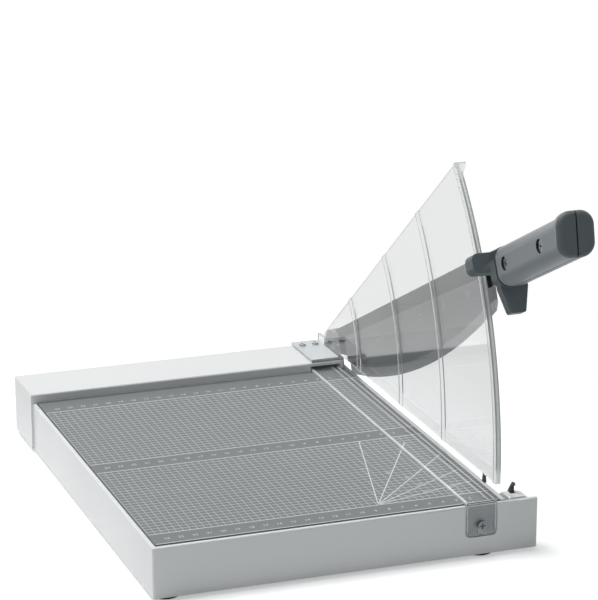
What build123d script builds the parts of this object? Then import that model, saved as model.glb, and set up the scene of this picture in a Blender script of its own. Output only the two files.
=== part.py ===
from build123d import *
from math import acos, cos, degrees, radians, sin, sqrt
import os

# Paper trimmer with a lever arm. Millimetres, +Z up, +Y to the fence, +X to the blade.
# The origin is on the desk, under the middle of the base.

os.makedirs("parts", exist_ok=True)

# Driving dimensions of the base
base_width = 281.0
table_depth = 312.0
fence_depth = 49.0
wall_height = 36.4
foot_stand = 2.6
fence_rise = 7.3
arm_side_width = 23.0
wall = 4.0
tray_side_in = 0.8
deck = 3.0
edge_radius = 1.2
corner_radius = 2.0
mat_thickness = 1.5
mat_gap = 0.5
overrun = 2.0

# Bottom plates, feet and their screws
plate_thickness = 1.5
plate_recess = 1.0
plate_gap = 0.4
boss_radius = 5.0
boss_inset = 22.0
foot_radius = 8.0
foot_inset = 9.0
foot_edge = 0.5
foot_lip = 2.4
foot_lip_gap = 0.3
foot_pocket = 1.6
fence_foot_inset = 11.0

# One small screw serves the covers
screw_radius = 1.5
screw_head_radius = 2.8
screw_head = 1.6
screw_bite = 9.0
screw_fit = 0.05
recess_width = 0.9
recess_share = 1.3
recess_depth_share = 0.6
chamfer_share = 0.12
edge_share = 0.35
recess_gap = 0.5

# Fence block
fence_wall = 3.0
fence_side_out = 0.6
fence_edge_radius = 1.5
shelf = 3.0
shelf_depth = 30.0
fence_screw_drop = 18.0
fence_screw_spread = 160.0

# Lower blade and its carrier
lower_blade_thickness = 3.5
lower_blade_height = 16.0
lower_blade_front_gap = 1.0
carrier_width = 10.0
carrier_height = 14.0
carrier_end_gap = 12.0
lower_screw_count = 5
lower_screw_inset = 24.0
lower_screw_drop = 8.0

# Pivot
pivot_rise = 15.0
pivot_from_fence = 25.0
bracket_thickness = 4.4
bracket_gap = 0.1
bracket_margin = 8.0
bracket_lift = 2.0
bracket_head_radius = 9.6
bracket_slope_angle = 75.0
backing_thickness = 4.0
backing_margin = 6.0
backing_top_margin = 3.0
bracket_screw_spread_y = 20.0
bracket_screw_spread_z = 12.0
bracket_screw_drop = 14.0
shoulder_radius = 5.0
thread_radius = 4.0
pivot_fit = 0.05
bolt_head_radius = 7.5
bolt_head = 5.0
washer_radius = 9.2
washer_thickness = 1.2
spring_washer_radius = 8.6
spring_washer_thickness = 1.1
thrust_radius = 8.0
thrust_thickness = 0.6
end_play = 0.1

# Arm, measured along the arm from the pivot (reach) and across it (height)
arm_angle = 26.0
blade_gap = 0.1
bar_thickness = 6.0
bar_top = 8.2
eye_radius = 9.8
bar_waist = 6.0
bar_depth = 20.0
bar_rear = 40.0
bar_front_inset = 37.0
bar_slope = 12.0
bar_neck = 27.0
bar_end_gap = 0.2
tang_cover = 17.0
tang_height = 12.0
lug_out = 15.4
lug_length = 10.0
lug_depth = 14.0
lug_thickness = 3.1
catch_drop = 12.0
catch_radius = 1.5
catch_length = 7.8
bumper_out = 3.5
bumper_radius = 2.5
bumper_length = 7.9

# Upper blade
blade_thickness = 2.5
blade_rear = 22.0
blade_front_out = 29.0
blade_top_rear = 0.5
blade_rear_depth = 30.0
blade_belly_share = 0.53746
blade_belly = 48.6
blade_front_depth = 32.0
blade_notch_inset = 3.0
blade_notch_depth = 15.0
bevel_width = 6.0
bevel_thickness = 1.9
blade_screw_count = 6
blade_screw_rear = 48.0
blade_screw_inset = 14.0
blade_screw_drop = 13.0
bush_wall = 2.0

# Handle and hand guard
handle_width = 25.0
handle_height = 28.0
handle_top = 7.0
handle_radius = 9.0
handle_seam = 2.0
handle_length = 108.7
handle_lip = 1.8
handle_lip_length = 9.0
handle_end_radius = 3.4
handle_end_angle = 14.0
parting_gap = 1.0
tang_fit = 0.1
handle_screw_inset = 13.4
handle_screw_spacing = 61.0
handle_screw_radius = 2.0
handle_screw_head_radius = 4.0
handle_screw_head = 2.2
handle_screw_well = 3.4
well_radius = 4.8
handle_nut_radius = 3.6
handle_nut = 2.6
nut_cover = 1.2
collar_length = 10.0
collar_lip = 0.3
tongue_length = 8.0
tongue_drop = 18.0
tongue_top_width = 20.0
tongue_bottom_width = 11.0
tongue_radius = 1.8
wing_length = 13.0
wing_span = 12.0
wing_top = 5.5
wing_bottom = 8.5
wing_radius = 4.5

# Clear guard
guard_thickness = 2.4
guard_from_cut = 5.5
guard_rise = 12.5
guard_wing_gap = 5.0
guard_top_setback = 7.0
guard_top_angle = 39.4
guard_mid_share = 0.4
guard_hub = 9.0
guard_rib_shares = (0.209581, 0.473054, 0.718563)
guard_rib_width = 6.5
guard_rib_height = 0.8
guard_rim_width = 4.0
guard_rim_height = 0.8
stop_out = 5.0
stop_plate = 2.2
stop_drop = 7.0
stop_foot = 2.4
guard_foot_width = 25.0
guard_foot_inset = 0.6
guard_foot_rear = 0.4
guard_foot = 1.8
gasket = 0.6
gasket_margin = 1.0
guard_screw_spread = 11.0
guard_screw_inset = 6.0
guard_screw_rear = 10.0
rest_from_front = 26.5
rest_clear = 6.0
rest_half_width = 2.0
rest_neck_share = 0.4
rest_thickness = 1.8

# Clear clamp strip
clamp_width = 22.5
clamp_from_cut = 8.5
clamp_thickness = 2.2
clamp_gap = 0.1
clamp_edge = 0.6
tab_thickness = 2.2
tab_inset = 0.3
tab_drop = 22.5
tab_corner = 3.0
tab_side_gap = 0.8
tab_back_gap = 0.5
clamp_tail = 26.0
clamp_screw_drop = 14.8
clamp_screw_radius = 2.0
clamp_screw_head_radius = 3.4
clamp_screw_head = 2.0
clamp_slot_gap = 0.3
clamp_pad = 5.0
guide_radius = 1.5
guide_fit = 0.08
guide_spread = 13.0
guide_inset = 14.0
guide_above = 4.0

# Latch behind the front wall
housing_gap = 3.0
housing_depth = 22.0
housing_rise = 0.8
housing_inset = 2.0
housing_radius = 9.0
housing_rear_radius = 11.0
fin_from_cut = 7.4
fin_thickness = 3.2
fin_side_gap = 0.4
latch_from_front = 17.5
latch_drop = 7.0
latch_barrel = 3.5
latch_pin_radius = 1.5
latch_pin_side = 3.0
fin_height = 14.9
fin_nose = 5.9
fin_nose_drop = 1.6
fin_hook_drop = 2.4
fin_top_width = 3.6
fin_taper = 1.9
fin_taper_foot = 0.4
fin_tip = 0.9
slot_front = 5.8
slot_rear = 4.2
slot_depth = 6.0
housing_screw_drop = 27.0
housing_screw_inset = 4.5
housing_screw_length = 24.5

# Places worked out from the driving dimensions
base_depth = table_depth + fence_depth
x_left = -base_width / 2
x_tray_left = x_left + tray_side_in
x_fence_left = x_left - fence_side_out
x_right = base_width / 2
x_cut = x_right - arm_side_width
x_rail = x_cut - lower_blade_thickness
y_front = -base_depth / 2
y_rear = base_depth / 2
y_fence = y_front + table_depth
z_wall = foot_stand
z_table = z_wall + wall_height
z_fence = z_table + fence_rise
z_deck = z_table - mat_thickness
z_ceiling = z_deck - deck
z_plate = z_wall + plate_recess
z_plate_top = z_plate + plate_thickness
x_fence_right = x_cut - bracket_gap - bracket_thickness
x_bracket_right = x_cut - bracket_gap
y_pivot = y_fence + pivot_from_fence
z_pivot = z_table + pivot_rise
x_blade = x_cut + blade_gap
x_bar_right = x_blade + bar_thickness
x_handle = x_blade + bar_thickness / 2
x_guard_right = x_cut - guard_from_cut
x_guard = x_guard_right - guard_thickness
x_clamp_right = x_cut - clamp_from_cut
x_clamp = x_clamp_right - clamp_width
x_clamp_middle = (x_clamp + x_clamp_right) / 2
z_clamp = z_table + clamp_gap
z_clamp_top = z_clamp + clamp_thickness
x_fin = x_cut + fin_from_cut
x_fin_right = x_fin + fin_thickness
y_latch = y_front + latch_from_front
z_latch = z_table - latch_drop
x_housing = x_cut + housing_gap
x_housing_right = x_right - housing_inset
y_housing_rear = y_front + wall + housing_depth
z_housing = z_table + housing_rise
handle_middle = handle_top - handle_height / 2
edge = min(edge_radius, wall * edge_share)

# Reaches along the arm and the guard, which follow the depth of the table
bar_front = table_depth + pivot_from_fence - bar_front_inset
bar_slope_end = bar_front + bar_slope
blade_front = bar_front + blade_front_out
blade_belly_reach = blade_rear + (blade_front - blade_rear) * blade_belly_share
blade_notch_reach = bar_slope_end - blade_notch_inset
blade_screw_front = bar_front - blade_screw_inset
bumper_reach = bar_slope_end + bumper_out
lug_reach = bar_slope_end + lug_out
wing_start = bar_slope_end + bar_neck
collar_start = wing_start + wing_length
bar_end = collar_start - bar_end_gap
handle_start = collar_start + collar_length + handle_seam
handle_end = handle_start + handle_length
tang_end = handle_end - tang_cover
handle_screw_reaches = (
    handle_start + handle_screw_inset, handle_start + handle_screw_inset + handle_screw_spacing
)
guard_reach = wing_start - guard_wing_gap
guard_top_reach = guard_reach - guard_top_setback
guard_rib_reaches = [guard_reach * share for share in guard_rib_shares]
guard_foot_depth = fence_depth - guard_foot_inset - guard_foot_rear


def block(x_span, y_span, z_span, mode=Mode.ADD):
    """Add or cut a block between two limits on each axis."""
    centre = tuple((low + high) / 2 for low, high in (x_span, y_span, z_span))
    with Locations(centre):
        Box(
            x_span[1] - x_span[0], y_span[1] - y_span[0], z_span[1] - z_span[0], mode=mode
        )


def upward(x, y, z):
    """A place whose axis points up."""
    return Location((x, y, z))


def downward(x, y, z):
    """A place whose axis points down."""
    return Location((x, y, z), (180, 0, 0))


def rightward(x, y, z):
    """A place whose axis points along +X."""
    return Location((x, y, z), (0, 90, 0))


def leftward(x, y, z):
    """A place whose axis points along -X."""
    return Location((x, y, z), (0, -90, 0))


def frontward(x, y, z):
    """A place whose axis points to the front, along -Y."""
    return Location((x, y, z), (90, 0, 0))


def rearward(x, y, z):
    """A place whose axis points to the back, along +Y."""
    return Location((x, y, z), (-90, 0, 0))


def pan_screws(places, radius, length, head_radius, head):
    """Add screws with a round head and a cross recess, heads outward along each place's axis."""
    below = (Align.CENTER, Align.CENTER, Align.MAX)
    above = (Align.CENTER, Align.CENTER, Align.MIN)
    cross = head_radius * recess_share
    with Locations(*places):
        Cylinder(radius, length, align=below)
        Cylinder(head_radius, head, align=above)
    with Locations(*[place * Location((0, 0, head)) for place in places]):
        Box(cross, recess_width, 2 * head * recess_depth_share, mode=Mode.SUBTRACT)
        Box(recess_width, cross, 2 * head * recess_depth_share, mode=Mode.SUBTRACT)


def flush_screws(places, radius, length, head_radius):
    """Add countersunk screws whose flat heads end at each place."""
    below = (Align.CENTER, Align.CENTER, Align.MAX)
    cone = head_radius - radius
    cross = head_radius * recess_share
    with Locations(*places):
        Cylinder(radius, length, align=below)
        Cone(radius, head_radius, cone, align=below)
        Box(cross, recess_width, cone * recess_depth_share, align=below, mode=Mode.SUBTRACT)
        Box(recess_width, cross, cone * recess_depth_share, align=below, mode=Mode.SUBTRACT)


def bores(places, radius, depth):
    """Cut round holes down each place's axis, starting just above it."""
    below = (Align.CENTER, Align.CENTER, Align.MAX)
    with Locations(*[place * Location((0, 0, overrun)) for place in places]):
        Cylinder(radius, depth + overrun, align=below, mode=Mode.SUBTRACT)


def countersinks(places, radius, depth, head_radius):
    """Cut holes for countersunk screws down each place's axis."""
    below = (Align.CENTER, Align.CENTER, Align.MAX)
    bores(places, radius + screw_fit, depth)
    with Locations(*places):
        Cone(
            radius + screw_fit, head_radius + screw_fit, head_radius - radius, align=below,
            mode=Mode.SUBTRACT,
        )


def arm_plane(x):
    """The arm's side plane: reach along it, height across it, facing -X."""
    turn = radians(arm_angle)
    return Plane(
        origin=(x, y_pivot, z_pivot), x_dir=(0, -cos(turn), sin(turn)), z_dir=(-1, 0, 0)
    )


def arm_place(x, reach, height):
    """The point of the part's frame at a reach and height on the arm."""
    return arm_plane(x).from_local_coords((reach, height, 0))


def arm_section(reach):
    """A plane across the arm: X from the handle's middle, height across the arm."""
    turn = radians(arm_angle)
    return Plane(
        origin=arm_place(x_handle, reach, 0), x_dir=(1, 0, 0), z_dir=(0, -cos(turn), sin(turn))
    )


def guard_plane(x):
    """The guard's side plane: forward and up from the pivot, facing -X."""
    return Plane(origin=(x, y_pivot, z_pivot), x_dir=(0, -1, 0), z_dir=(-1, 0, 0))


def polar(reach, angle):
    """A point at a reach and an angle in degrees from the pivot."""
    return (reach * cos(radians(angle)), reach * sin(radians(angle)))


# Patterns that several pieces share
x_room = (x_left + wall, x_rail - wall)
y_room = (y_front + wall, y_fence - wall)
x_fence_room = (x_left + fence_wall, x_fence_right - fence_wall)
y_fence_room = (y_fence + fence_wall, y_rear - fence_wall)

plate_bosses = [
    (x, y)
    for x in (x_room[0] + boss_inset, x_room[1] - boss_inset)
    for y in (y_room[0] + boss_inset, sum(y_room) / 2, y_room[1] - boss_inset)
]
fence_bosses = [
    (x, sum(y_fence_room) / 2) for x in (x_fence_room[0] + boss_inset, x_clamp - boss_inset)
]
front_feet = [
    (x, y_room[0] + foot_inset) for x in (x_room[0] + foot_inset, x_room[1] - foot_inset)
]
rear_feet = [
    (x, y_fence_room[1] - fence_foot_inset)
    for x in (x_fence_room[0] + fence_foot_inset, x_fence_room[1] - fence_foot_inset)
]
z_fence_screw = z_table - fence_screw_drop
fence_screw_xs = [sum(x_room) / 2 + side * fence_screw_spread / 2 for side in (-1, 1)]

lower_screw_ys = [
    y_front + wall + lower_screw_inset
    + i * (table_depth - wall - 2 * lower_screw_inset) / (lower_screw_count - 1)
    for i in range(lower_screw_count)
]
lower_screw_places = [rightward(x_cut, y, z_table - lower_screw_drop) for y in lower_screw_ys]
lower_screw_length = lower_blade_thickness + wall + carrier_width / 2

y_bracket = (y_fence + bracket_margin, y_rear - bracket_margin)
bracket_screw_places = [
    rightward(
        x_bracket_right,
        sum(y_bracket) / 2 + side * bracket_screw_spread_y / 2,
        z_table - bracket_screw_drop + rise * bracket_screw_spread_z / 2,
    )
    for side in (-1, 1)
    for rise in (-1, 1)
]
bracket_screw_length = bracket_thickness + fence_wall + backing_thickness

guide_points = [
    (x_clamp_middle + side * guide_spread / 2, y_fence + guide_inset) for side in (-1, 1)
]
clamp_screw_place = frontward(
    x_clamp_middle, y_front + tab_inset - clamp_slot_gap, z_table - clamp_screw_drop
)
y_recess = tab_inset + tab_thickness + tab_back_gap
z_recess = z_table - tab_drop - tab_side_gap

y_guard_foot = (y_fence + guard_foot_inset, y_fence + guard_foot_inset + guard_foot_depth)
x_guard_foot = x_guard_right - guard_foot_width
z_guard_foot = z_fence + gasket
guard_screw_places = [
    upward(
        x_guard - guard_screw_inset - i * guard_screw_spread,
        y_guard_foot[1] - guard_screw_rear,
        z_guard_foot + guard_foot,
    )
    for i in (0, 1)
]
guard_screw_length = guard_foot + gasket + screw_bite

housing_screw_places = [
    rearward(x, y_housing_rear, z_table - housing_screw_drop)
    for x in (x_housing + housing_screw_inset, x_housing_right - housing_screw_inset)
]

handle_screw_places = [
    leftward(*arm_place(x_handle - handle_width / 2 + handle_screw_well, reach, handle_middle))
    for reach in handle_screw_reaches
]
handle_screw_length = handle_width - handle_screw_well - nut_cover
handle_nut_places = [
    rightward(*arm_place(x_handle + handle_width / 2 - nut_cover, reach, handle_middle))
    for reach in handle_screw_reaches
]

blade_screw_reaches = [
    blade_screw_rear + i * (blade_screw_front - blade_screw_rear) / (blade_screw_count - 1)
    for i in range(blade_screw_count)
]
blade_screw_places = [
    leftward(*arm_place(x_blade, reach, -blade_screw_drop)) for reach in blade_screw_reaches
]


# Base tray: deck, walls, bosses and the recess of the clamp tab
with BuildPart() as base_tray:
    block((x_tray_left, x_rail), (y_front, y_fence), (z_wall, z_deck))
    block((x_tray_left, x_right), (y_front, y_front + wall), (z_wall, z_table))
    block((x_tray_left, x_left + wall), (y_front, y_fence), (z_wall, z_table))
    outer = base_tray.edges().filter_by(Axis.Z).group_by(Axis.Y)[0]
    fillet(outer, corner_radius)
    fillet(base_tray.edges().group_by(Axis.Z)[-1], edge)
    block(x_room, y_room, (z_wall - overrun, z_ceiling), mode=Mode.SUBTRACT)
    with Locations(*[(x, y, z_plate_top) for x, y in plate_bosses]):
        Cylinder(
            boss_radius, z_ceiling - z_plate_top, align=(Align.CENTER, Align.CENTER, Align.MIN)
        )
    block(
        (x_clamp - clamp_pad, x_rail),
        (y_front + wall, y_front + wall + clamp_pad),
        (z_recess - clamp_pad, z_ceiling),
    )
    with BuildPart(mode=Mode.PRIVATE) as tab_recess:
        block(
            (x_clamp - tab_side_gap, x_clamp_right + tab_side_gap),
            (y_front - overrun, y_front + y_recess),
            (z_recess, z_table + overrun),
        )
        fillet(
            tab_recess.edges().filter_by(Axis.Y).group_by(Axis.Z)[0], tab_corner + tab_side_gap
        )
    add(tab_recess.part, mode=Mode.SUBTRACT)
    bores(
        [downward(x, y, z_plate_top) for x, y in plate_bosses], screw_radius + screw_fit, screw_bite
    )
    bores(
        [rearward(x, y_fence, z_fence_screw) for x in fence_screw_xs],
        screw_radius + screw_fit, wall,
    )
    bores([clamp_screw_place], clamp_screw_radius + screw_fit, y_recess + clamp_pad + wall)
    bores(lower_screw_places, screw_radius + screw_fit, lower_blade_thickness + wall)
    bores(housing_screw_places, screw_radius + screw_fit, housing_screw_length)

# Steel plate that closes the tray
with BuildPart() as bottom_plate:
    block(
        (x_room[0] + plate_gap, x_room[1] - plate_gap),
        (y_room[0] + plate_gap, y_room[1] - plate_gap),
        (z_plate, z_plate_top),
    )
    fillet(bottom_plate.edges().filter_by(Axis.Z), corner_radius)
    bores(
        [downward(x, y, z_plate) for x, y in plate_bosses + front_feet],
        screw_radius + screw_fit, plate_thickness + overrun,
    )

with BuildPart() as bottom_plate_screws:
    pan_screws(
        [downward(x, y, z_plate) for x, y in plate_bosses],
        screw_radius, plate_thickness + screw_bite, screw_head_radius, screw_head,
    )

# Printed mat let into the deck
with BuildPart() as cutting_mat:
    block(
        (x_left + wall + mat_gap, x_rail - mat_gap),
        (y_front + wall + mat_gap, y_fence - mat_gap),
        (z_deck, z_table),
    )

# Fence block: hollow cover, notch and shelf for the clamp strip
with BuildPart() as fence_cover:
    block((x_fence_left, x_fence_right), (y_fence, y_rear), (z_wall, z_fence))
    fillet(fence_cover.edges().group_by(Axis.Z)[-1], fence_edge_radius)
    block(x_fence_room, y_fence_room, (z_wall - overrun, z_fence - fence_wall), mode=Mode.SUBTRACT)
    block(
        (x_clamp - tab_side_gap - fence_wall, x_fence_room[1]),
        (y_fence_room[0], y_fence + shelf_depth),
        (z_table - shelf, z_table),
    )
    block(
        (x_clamp - tab_side_gap - fence_wall, x_clamp - tab_side_gap),
        (y_fence_room[0], y_fence + shelf_depth),
        (z_table, z_fence - fence_wall),
    )
    block(
        (x_clamp - tab_side_gap, x_fence_room[1]),
        (y_fence - overrun, y_fence_room[0]),
        (z_table, z_fence - fence_wall),
        mode=Mode.SUBTRACT,
    )
    with Locations(*[(x, y, z_plate_top) for x, y in fence_bosses]):
        Cylinder(
            boss_radius, z_fence - fence_wall - z_plate_top,
            align=(Align.CENTER, Align.CENTER, Align.MIN),
        )
    with Locations(
        *[place * Location((0, 0, -guard_foot - gasket)) for place in guard_screw_places]
    ):
        Cylinder(
            boss_radius, screw_bite + screw_head, align=(Align.CENTER, Align.CENTER, Align.MAX)
        )
    bores(guard_screw_places, screw_radius + screw_fit, guard_screw_length)
    bores(
        [downward(x, y, z_plate_top) for x, y in fence_bosses], screw_radius + screw_fit, screw_bite
    )
    bores(
        [rearward(x, y_fence_room[0], z_fence_screw) for x in fence_screw_xs],
        screw_radius + screw_fit, fence_wall + overrun,
    )
    bores(
        [upward(x, y, z_table) for x, y in guide_points], guide_radius + screw_fit, shelf + overrun
    )
    bores(bracket_screw_places, screw_radius + screw_fit, bracket_screw_length)

with BuildPart() as fence_plate:
    block(
        (x_fence_room[0] + plate_gap, x_fence_room[1] - plate_gap),
        (y_fence_room[0] + plate_gap, y_fence_room[1] - plate_gap),
        (z_plate, z_plate_top),
    )
    fillet(fence_plate.edges().filter_by(Axis.Z), corner_radius)
    bores(
        [downward(x, y, z_plate) for x, y in fence_bosses + rear_feet],
        screw_radius + screw_fit, plate_thickness + overrun,
    )

with BuildPart() as fence_plate_screws:
    pan_screws(
        [downward(x, y, z_plate) for x, y in fence_bosses],
        screw_radius, plate_thickness + screw_bite, screw_head_radius, screw_head,
    )

# Screws from inside the fence block into the tray's back wall
with BuildPart() as fence_screws:
    pan_screws(
        [rearward(x, y_fence_room[0], z_fence_screw) for x in fence_screw_xs],
        screw_radius, fence_wall + wall, screw_head_radius, screw_head,
    )

# Rubber feet, each with its screw sunk in a pocket
with BuildPart() as rubber_feet:
    with Locations(*[(x, y, 0) for x, y in front_feet + rear_feet]):
        Cylinder(foot_radius, z_plate, align=(Align.CENTER, Align.CENTER, Align.MIN))
        Cylinder(
            foot_radius + foot_lip, foot_stand - foot_lip_gap,
            align=(Align.CENTER, Align.CENTER, Align.MIN),
        )
    chamfer(rubber_feet.edges().group_by(Axis.Z)[0], foot_edge)
    bores(
        [downward(x, y, 0) for x, y in front_feet + rear_feet],
        screw_head_radius + screw_fit, foot_pocket + screw_head / 2,
    )
    bores(
        [downward(x, y, 0) for x, y in front_feet + rear_feet], screw_radius + screw_fit, z_plate
    )

with BuildPart() as foot_screws:
    pan_screws(
        [downward(x, y, foot_pocket + screw_head / 2) for x, y in front_feet + rear_feet],
        screw_radius, z_plate_top, screw_head_radius, screw_head,
    )

# Lower blade along the edge of the table, with its carrier inside the tray
with BuildPart() as blade_carrier:
    block(
        (x_room[1] - carrier_width, x_room[1]),
        (y_room[0] + carrier_end_gap, y_room[1]),
        (z_ceiling - carrier_height, z_ceiling),
    )
    bores(lower_screw_places, screw_radius + screw_fit, lower_screw_length)

with BuildPart() as lower_blade:
    block(
        (x_rail, x_cut),
        (y_front + wall + lower_blade_front_gap, y_bracket[0]),
        (z_table - lower_blade_height, z_table),
    )
    countersinks(lower_screw_places, screw_radius, lower_blade_thickness + overrun, screw_head_radius)

with BuildPart() as lower_blade_screws:
    flush_screws(lower_screw_places, screw_radius, lower_screw_length, screw_head_radius)

# Upright that carries the pivot, with its backing plate inside the fence block
with BuildPart() as pivot_bracket:
    block((x_fence_right, x_bracket_right), y_bracket, (z_wall + bracket_lift, z_table))
    with BuildSketch(guard_plane(x_bracket_right)):
        Circle(bracket_head_radius)
        with Locations((0, -pivot_rise)):
            Trapezoid(
                y_bracket[1] - y_bracket[0], pivot_rise, bracket_slope_angle,
                align=(Align.CENTER, Align.MIN),
            )
    extrude(amount=bracket_thickness)
    bores(
        [rightward(x_bracket_right, y_pivot, z_pivot)],
        thread_radius + screw_fit, bracket_thickness + overrun,
    )
    countersinks(bracket_screw_places, screw_radius, bracket_screw_length, screw_head_radius)

with BuildPart() as bracket_backing:
    block(
        (x_fence_room[1] - backing_thickness, x_fence_room[1]),
        y_bracket,
        (
            z_table - bracket_screw_drop - bracket_screw_spread_z / 2 - backing_margin,
            z_table - bracket_screw_drop + bracket_screw_spread_z / 2 + backing_top_margin,
        ),
    )
    bores(bracket_screw_places, screw_radius + screw_fit, bracket_screw_length + overrun)

with BuildPart() as bracket_screws:
    flush_screws(bracket_screw_places, screw_radius, bracket_screw_length, screw_head_radius)

# Shoulder bolt of the pivot and its washers, from the bracket outwards
x_washer = x_bar_right + end_play
x_spring_washer = x_washer + washer_thickness
x_bolt_head = x_spring_washer + spring_washer_thickness
pivot_axis = rightward(x_bracket_right, y_pivot, z_pivot)

with BuildPart() as pivot_bolt:
    with Locations(pivot_axis):
        Cylinder(
            shoulder_radius, x_bolt_head - x_bracket_right,
            align=(Align.CENTER, Align.CENTER, Align.MIN),
        )
        Cylinder(
            thread_radius, bracket_thickness - end_play,
            align=(Align.CENTER, Align.CENTER, Align.MAX),
        )
    with BuildSketch(Plane(origin=(x_bolt_head, y_pivot, z_pivot), z_dir=(1, 0, 0))):
        RegularPolygon(bolt_head_radius, 6)
    extrude(amount=bolt_head)
    chamfer(pivot_bolt.faces().sort_by(Axis.X)[-1].edges(), bolt_head_radius * chamfer_share)

with BuildPart() as thrust_washer:
    with BuildSketch(Plane(origin=(x_bracket_right, y_pivot, z_pivot), z_dir=(1, 0, 0))):
        Circle(thrust_radius)
        Circle(shoulder_radius + pivot_fit, mode=Mode.SUBTRACT)
    extrude(amount=thrust_thickness)

with BuildPart() as pivot_washer:
    with BuildSketch(Plane(origin=(x_washer, y_pivot, z_pivot), z_dir=(1, 0, 0))):
        Circle(washer_radius)
        Circle(shoulder_radius + pivot_fit, mode=Mode.SUBTRACT)
    extrude(amount=washer_thickness)

with BuildPart() as spring_washer:
    with BuildSketch(Plane(origin=(x_spring_washer, y_pivot, z_pivot), z_dir=(1, 0, 0))):
        Circle(spring_washer_radius)
        Circle(shoulder_radius + pivot_fit, mode=Mode.SUBTRACT)
    extrude(amount=spring_washer_thickness)

# Arm bar: eye, spine with a rabbet for the blade, lug of the catch pin and tang
tang_top = handle_middle + tang_height / 2
tang_bottom = handle_middle - tang_height / 2
eye_recess = thrust_thickness - bracket_gap - blade_gap + end_play

with BuildPart() as arm_bar:
    with BuildSketch(arm_plane(x_bar_right)):
        with BuildLine():
            Polyline(
                (0, bar_top),
                (bar_end, bar_top),
                (bar_end, tang_top),
                (tang_end, tang_top),
                (tang_end, tang_bottom),
                (bar_end, tang_bottom),
                (bar_end, -bar_waist),
                (bar_slope_end, -bar_waist),
                (bar_front, -bar_depth),
                (bar_rear, -bar_depth),
                (0, -eye_radius),
                close=True,
            )
        make_face()
        Circle(eye_radius)
    extrude(amount=bar_thickness)
    with BuildSketch(arm_plane(x_bar_right)):
        with Locations((lug_reach, -bar_waist)):
            Rectangle(lug_length, lug_depth - bar_waist, align=(Align.CENTER, Align.MAX))
    extrude(amount=lug_thickness)
    with BuildSketch(arm_plane(x_blade)):
        with BuildLine():
            Polyline(
                (blade_rear, -blade_top_rear),
                (blade_notch_reach, -bar_waist),
                (blade_notch_reach, -bar_depth - overrun),
                (blade_rear, -bar_depth - overrun),
                close=True,
            )
        make_face()
    extrude(amount=-blade_thickness, mode=Mode.SUBTRACT)
    bores([leftward(x_blade, y_pivot, z_pivot)], thrust_radius + recess_gap, eye_recess)
    bores([leftward(x_blade, y_pivot, z_pivot)], shoulder_radius + bush_wall, bar_thickness + overrun)
    bores(
        [rightward(*arm_place(x_bar_right, lug_reach, -catch_drop))], catch_radius, lug_thickness
    )
    bores(blade_screw_places, screw_radius + screw_fit, bar_thickness + overrun)
    bores(
        [leftward(*arm_place(x_blade, reach, handle_middle)) for reach in handle_screw_reaches],
        handle_screw_radius + screw_fit, bar_thickness + overrun,
    )

with BuildPart() as pivot_bush:
    with BuildSketch(Plane(origin=(x_blade + eye_recess, y_pivot, z_pivot), z_dir=(1, 0, 0))):
        Circle(shoulder_radius + bush_wall)
        Circle(shoulder_radius + pivot_fit, mode=Mode.SUBTRACT)
    extrude(amount=bar_thickness - eye_recess)

# Upper blade: flat towards the table, ground on the outer side of its curved edge
with BuildPart() as upper_blade:
    with BuildSketch(arm_plane(x_blade)):
        with BuildLine():
            Polyline(
                (blade_rear, -blade_rear_depth),
                (blade_rear, -blade_top_rear),
                (blade_notch_reach, -bar_waist),
                (blade_notch_reach, -blade_notch_depth),
                (blade_front, -blade_notch_depth),
                (blade_front, -blade_front_depth),
            )
            ThreePointArc(
                (blade_front, -blade_front_depth),
                (blade_belly_reach, -blade_belly),
                (blade_rear, -blade_rear_depth),
            )
        make_face()
    extrude(amount=-blade_thickness)
    outer_face = upper_blade.faces().sort_by(Axis.X)[-1]
    ground_edge = outer_face.edges().filter_by(GeomType.CIRCLE)
    chamfer(ground_edge, length=bevel_width, length2=bevel_thickness, reference=outer_face)
    countersinks(blade_screw_places, screw_radius, blade_thickness + overrun, screw_head_radius)

with BuildPart() as blade_screws:
    flush_screws(blade_screw_places, screw_radius, bar_thickness, screw_head_radius)

# Rubber bumper and steel catch pin at the front of the bar
bumper_plane = Plane(
    origin=arm_place(x_bar_right - bumper_radius, bumper_reach, -bar_waist),
    z_dir=arm_plane(0).y_dir.reverse(),
)
with BuildPart() as arm_bumper:
    with BuildSketch(bumper_plane):
        Circle(bumper_radius)
    extrude(amount=bumper_length)
    chamfer(arm_bumper.edges().sort_by(Axis.Z)[0], bumper_radius * chamfer_share)

with BuildPart() as catch_pin:
    with Locations(rightward(*arm_place(x_bar_right - lug_thickness, lug_reach, -catch_drop))):
        Cylinder(catch_radius, catch_length, align=(Align.CENTER, Align.CENTER, Align.MIN))

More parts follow.
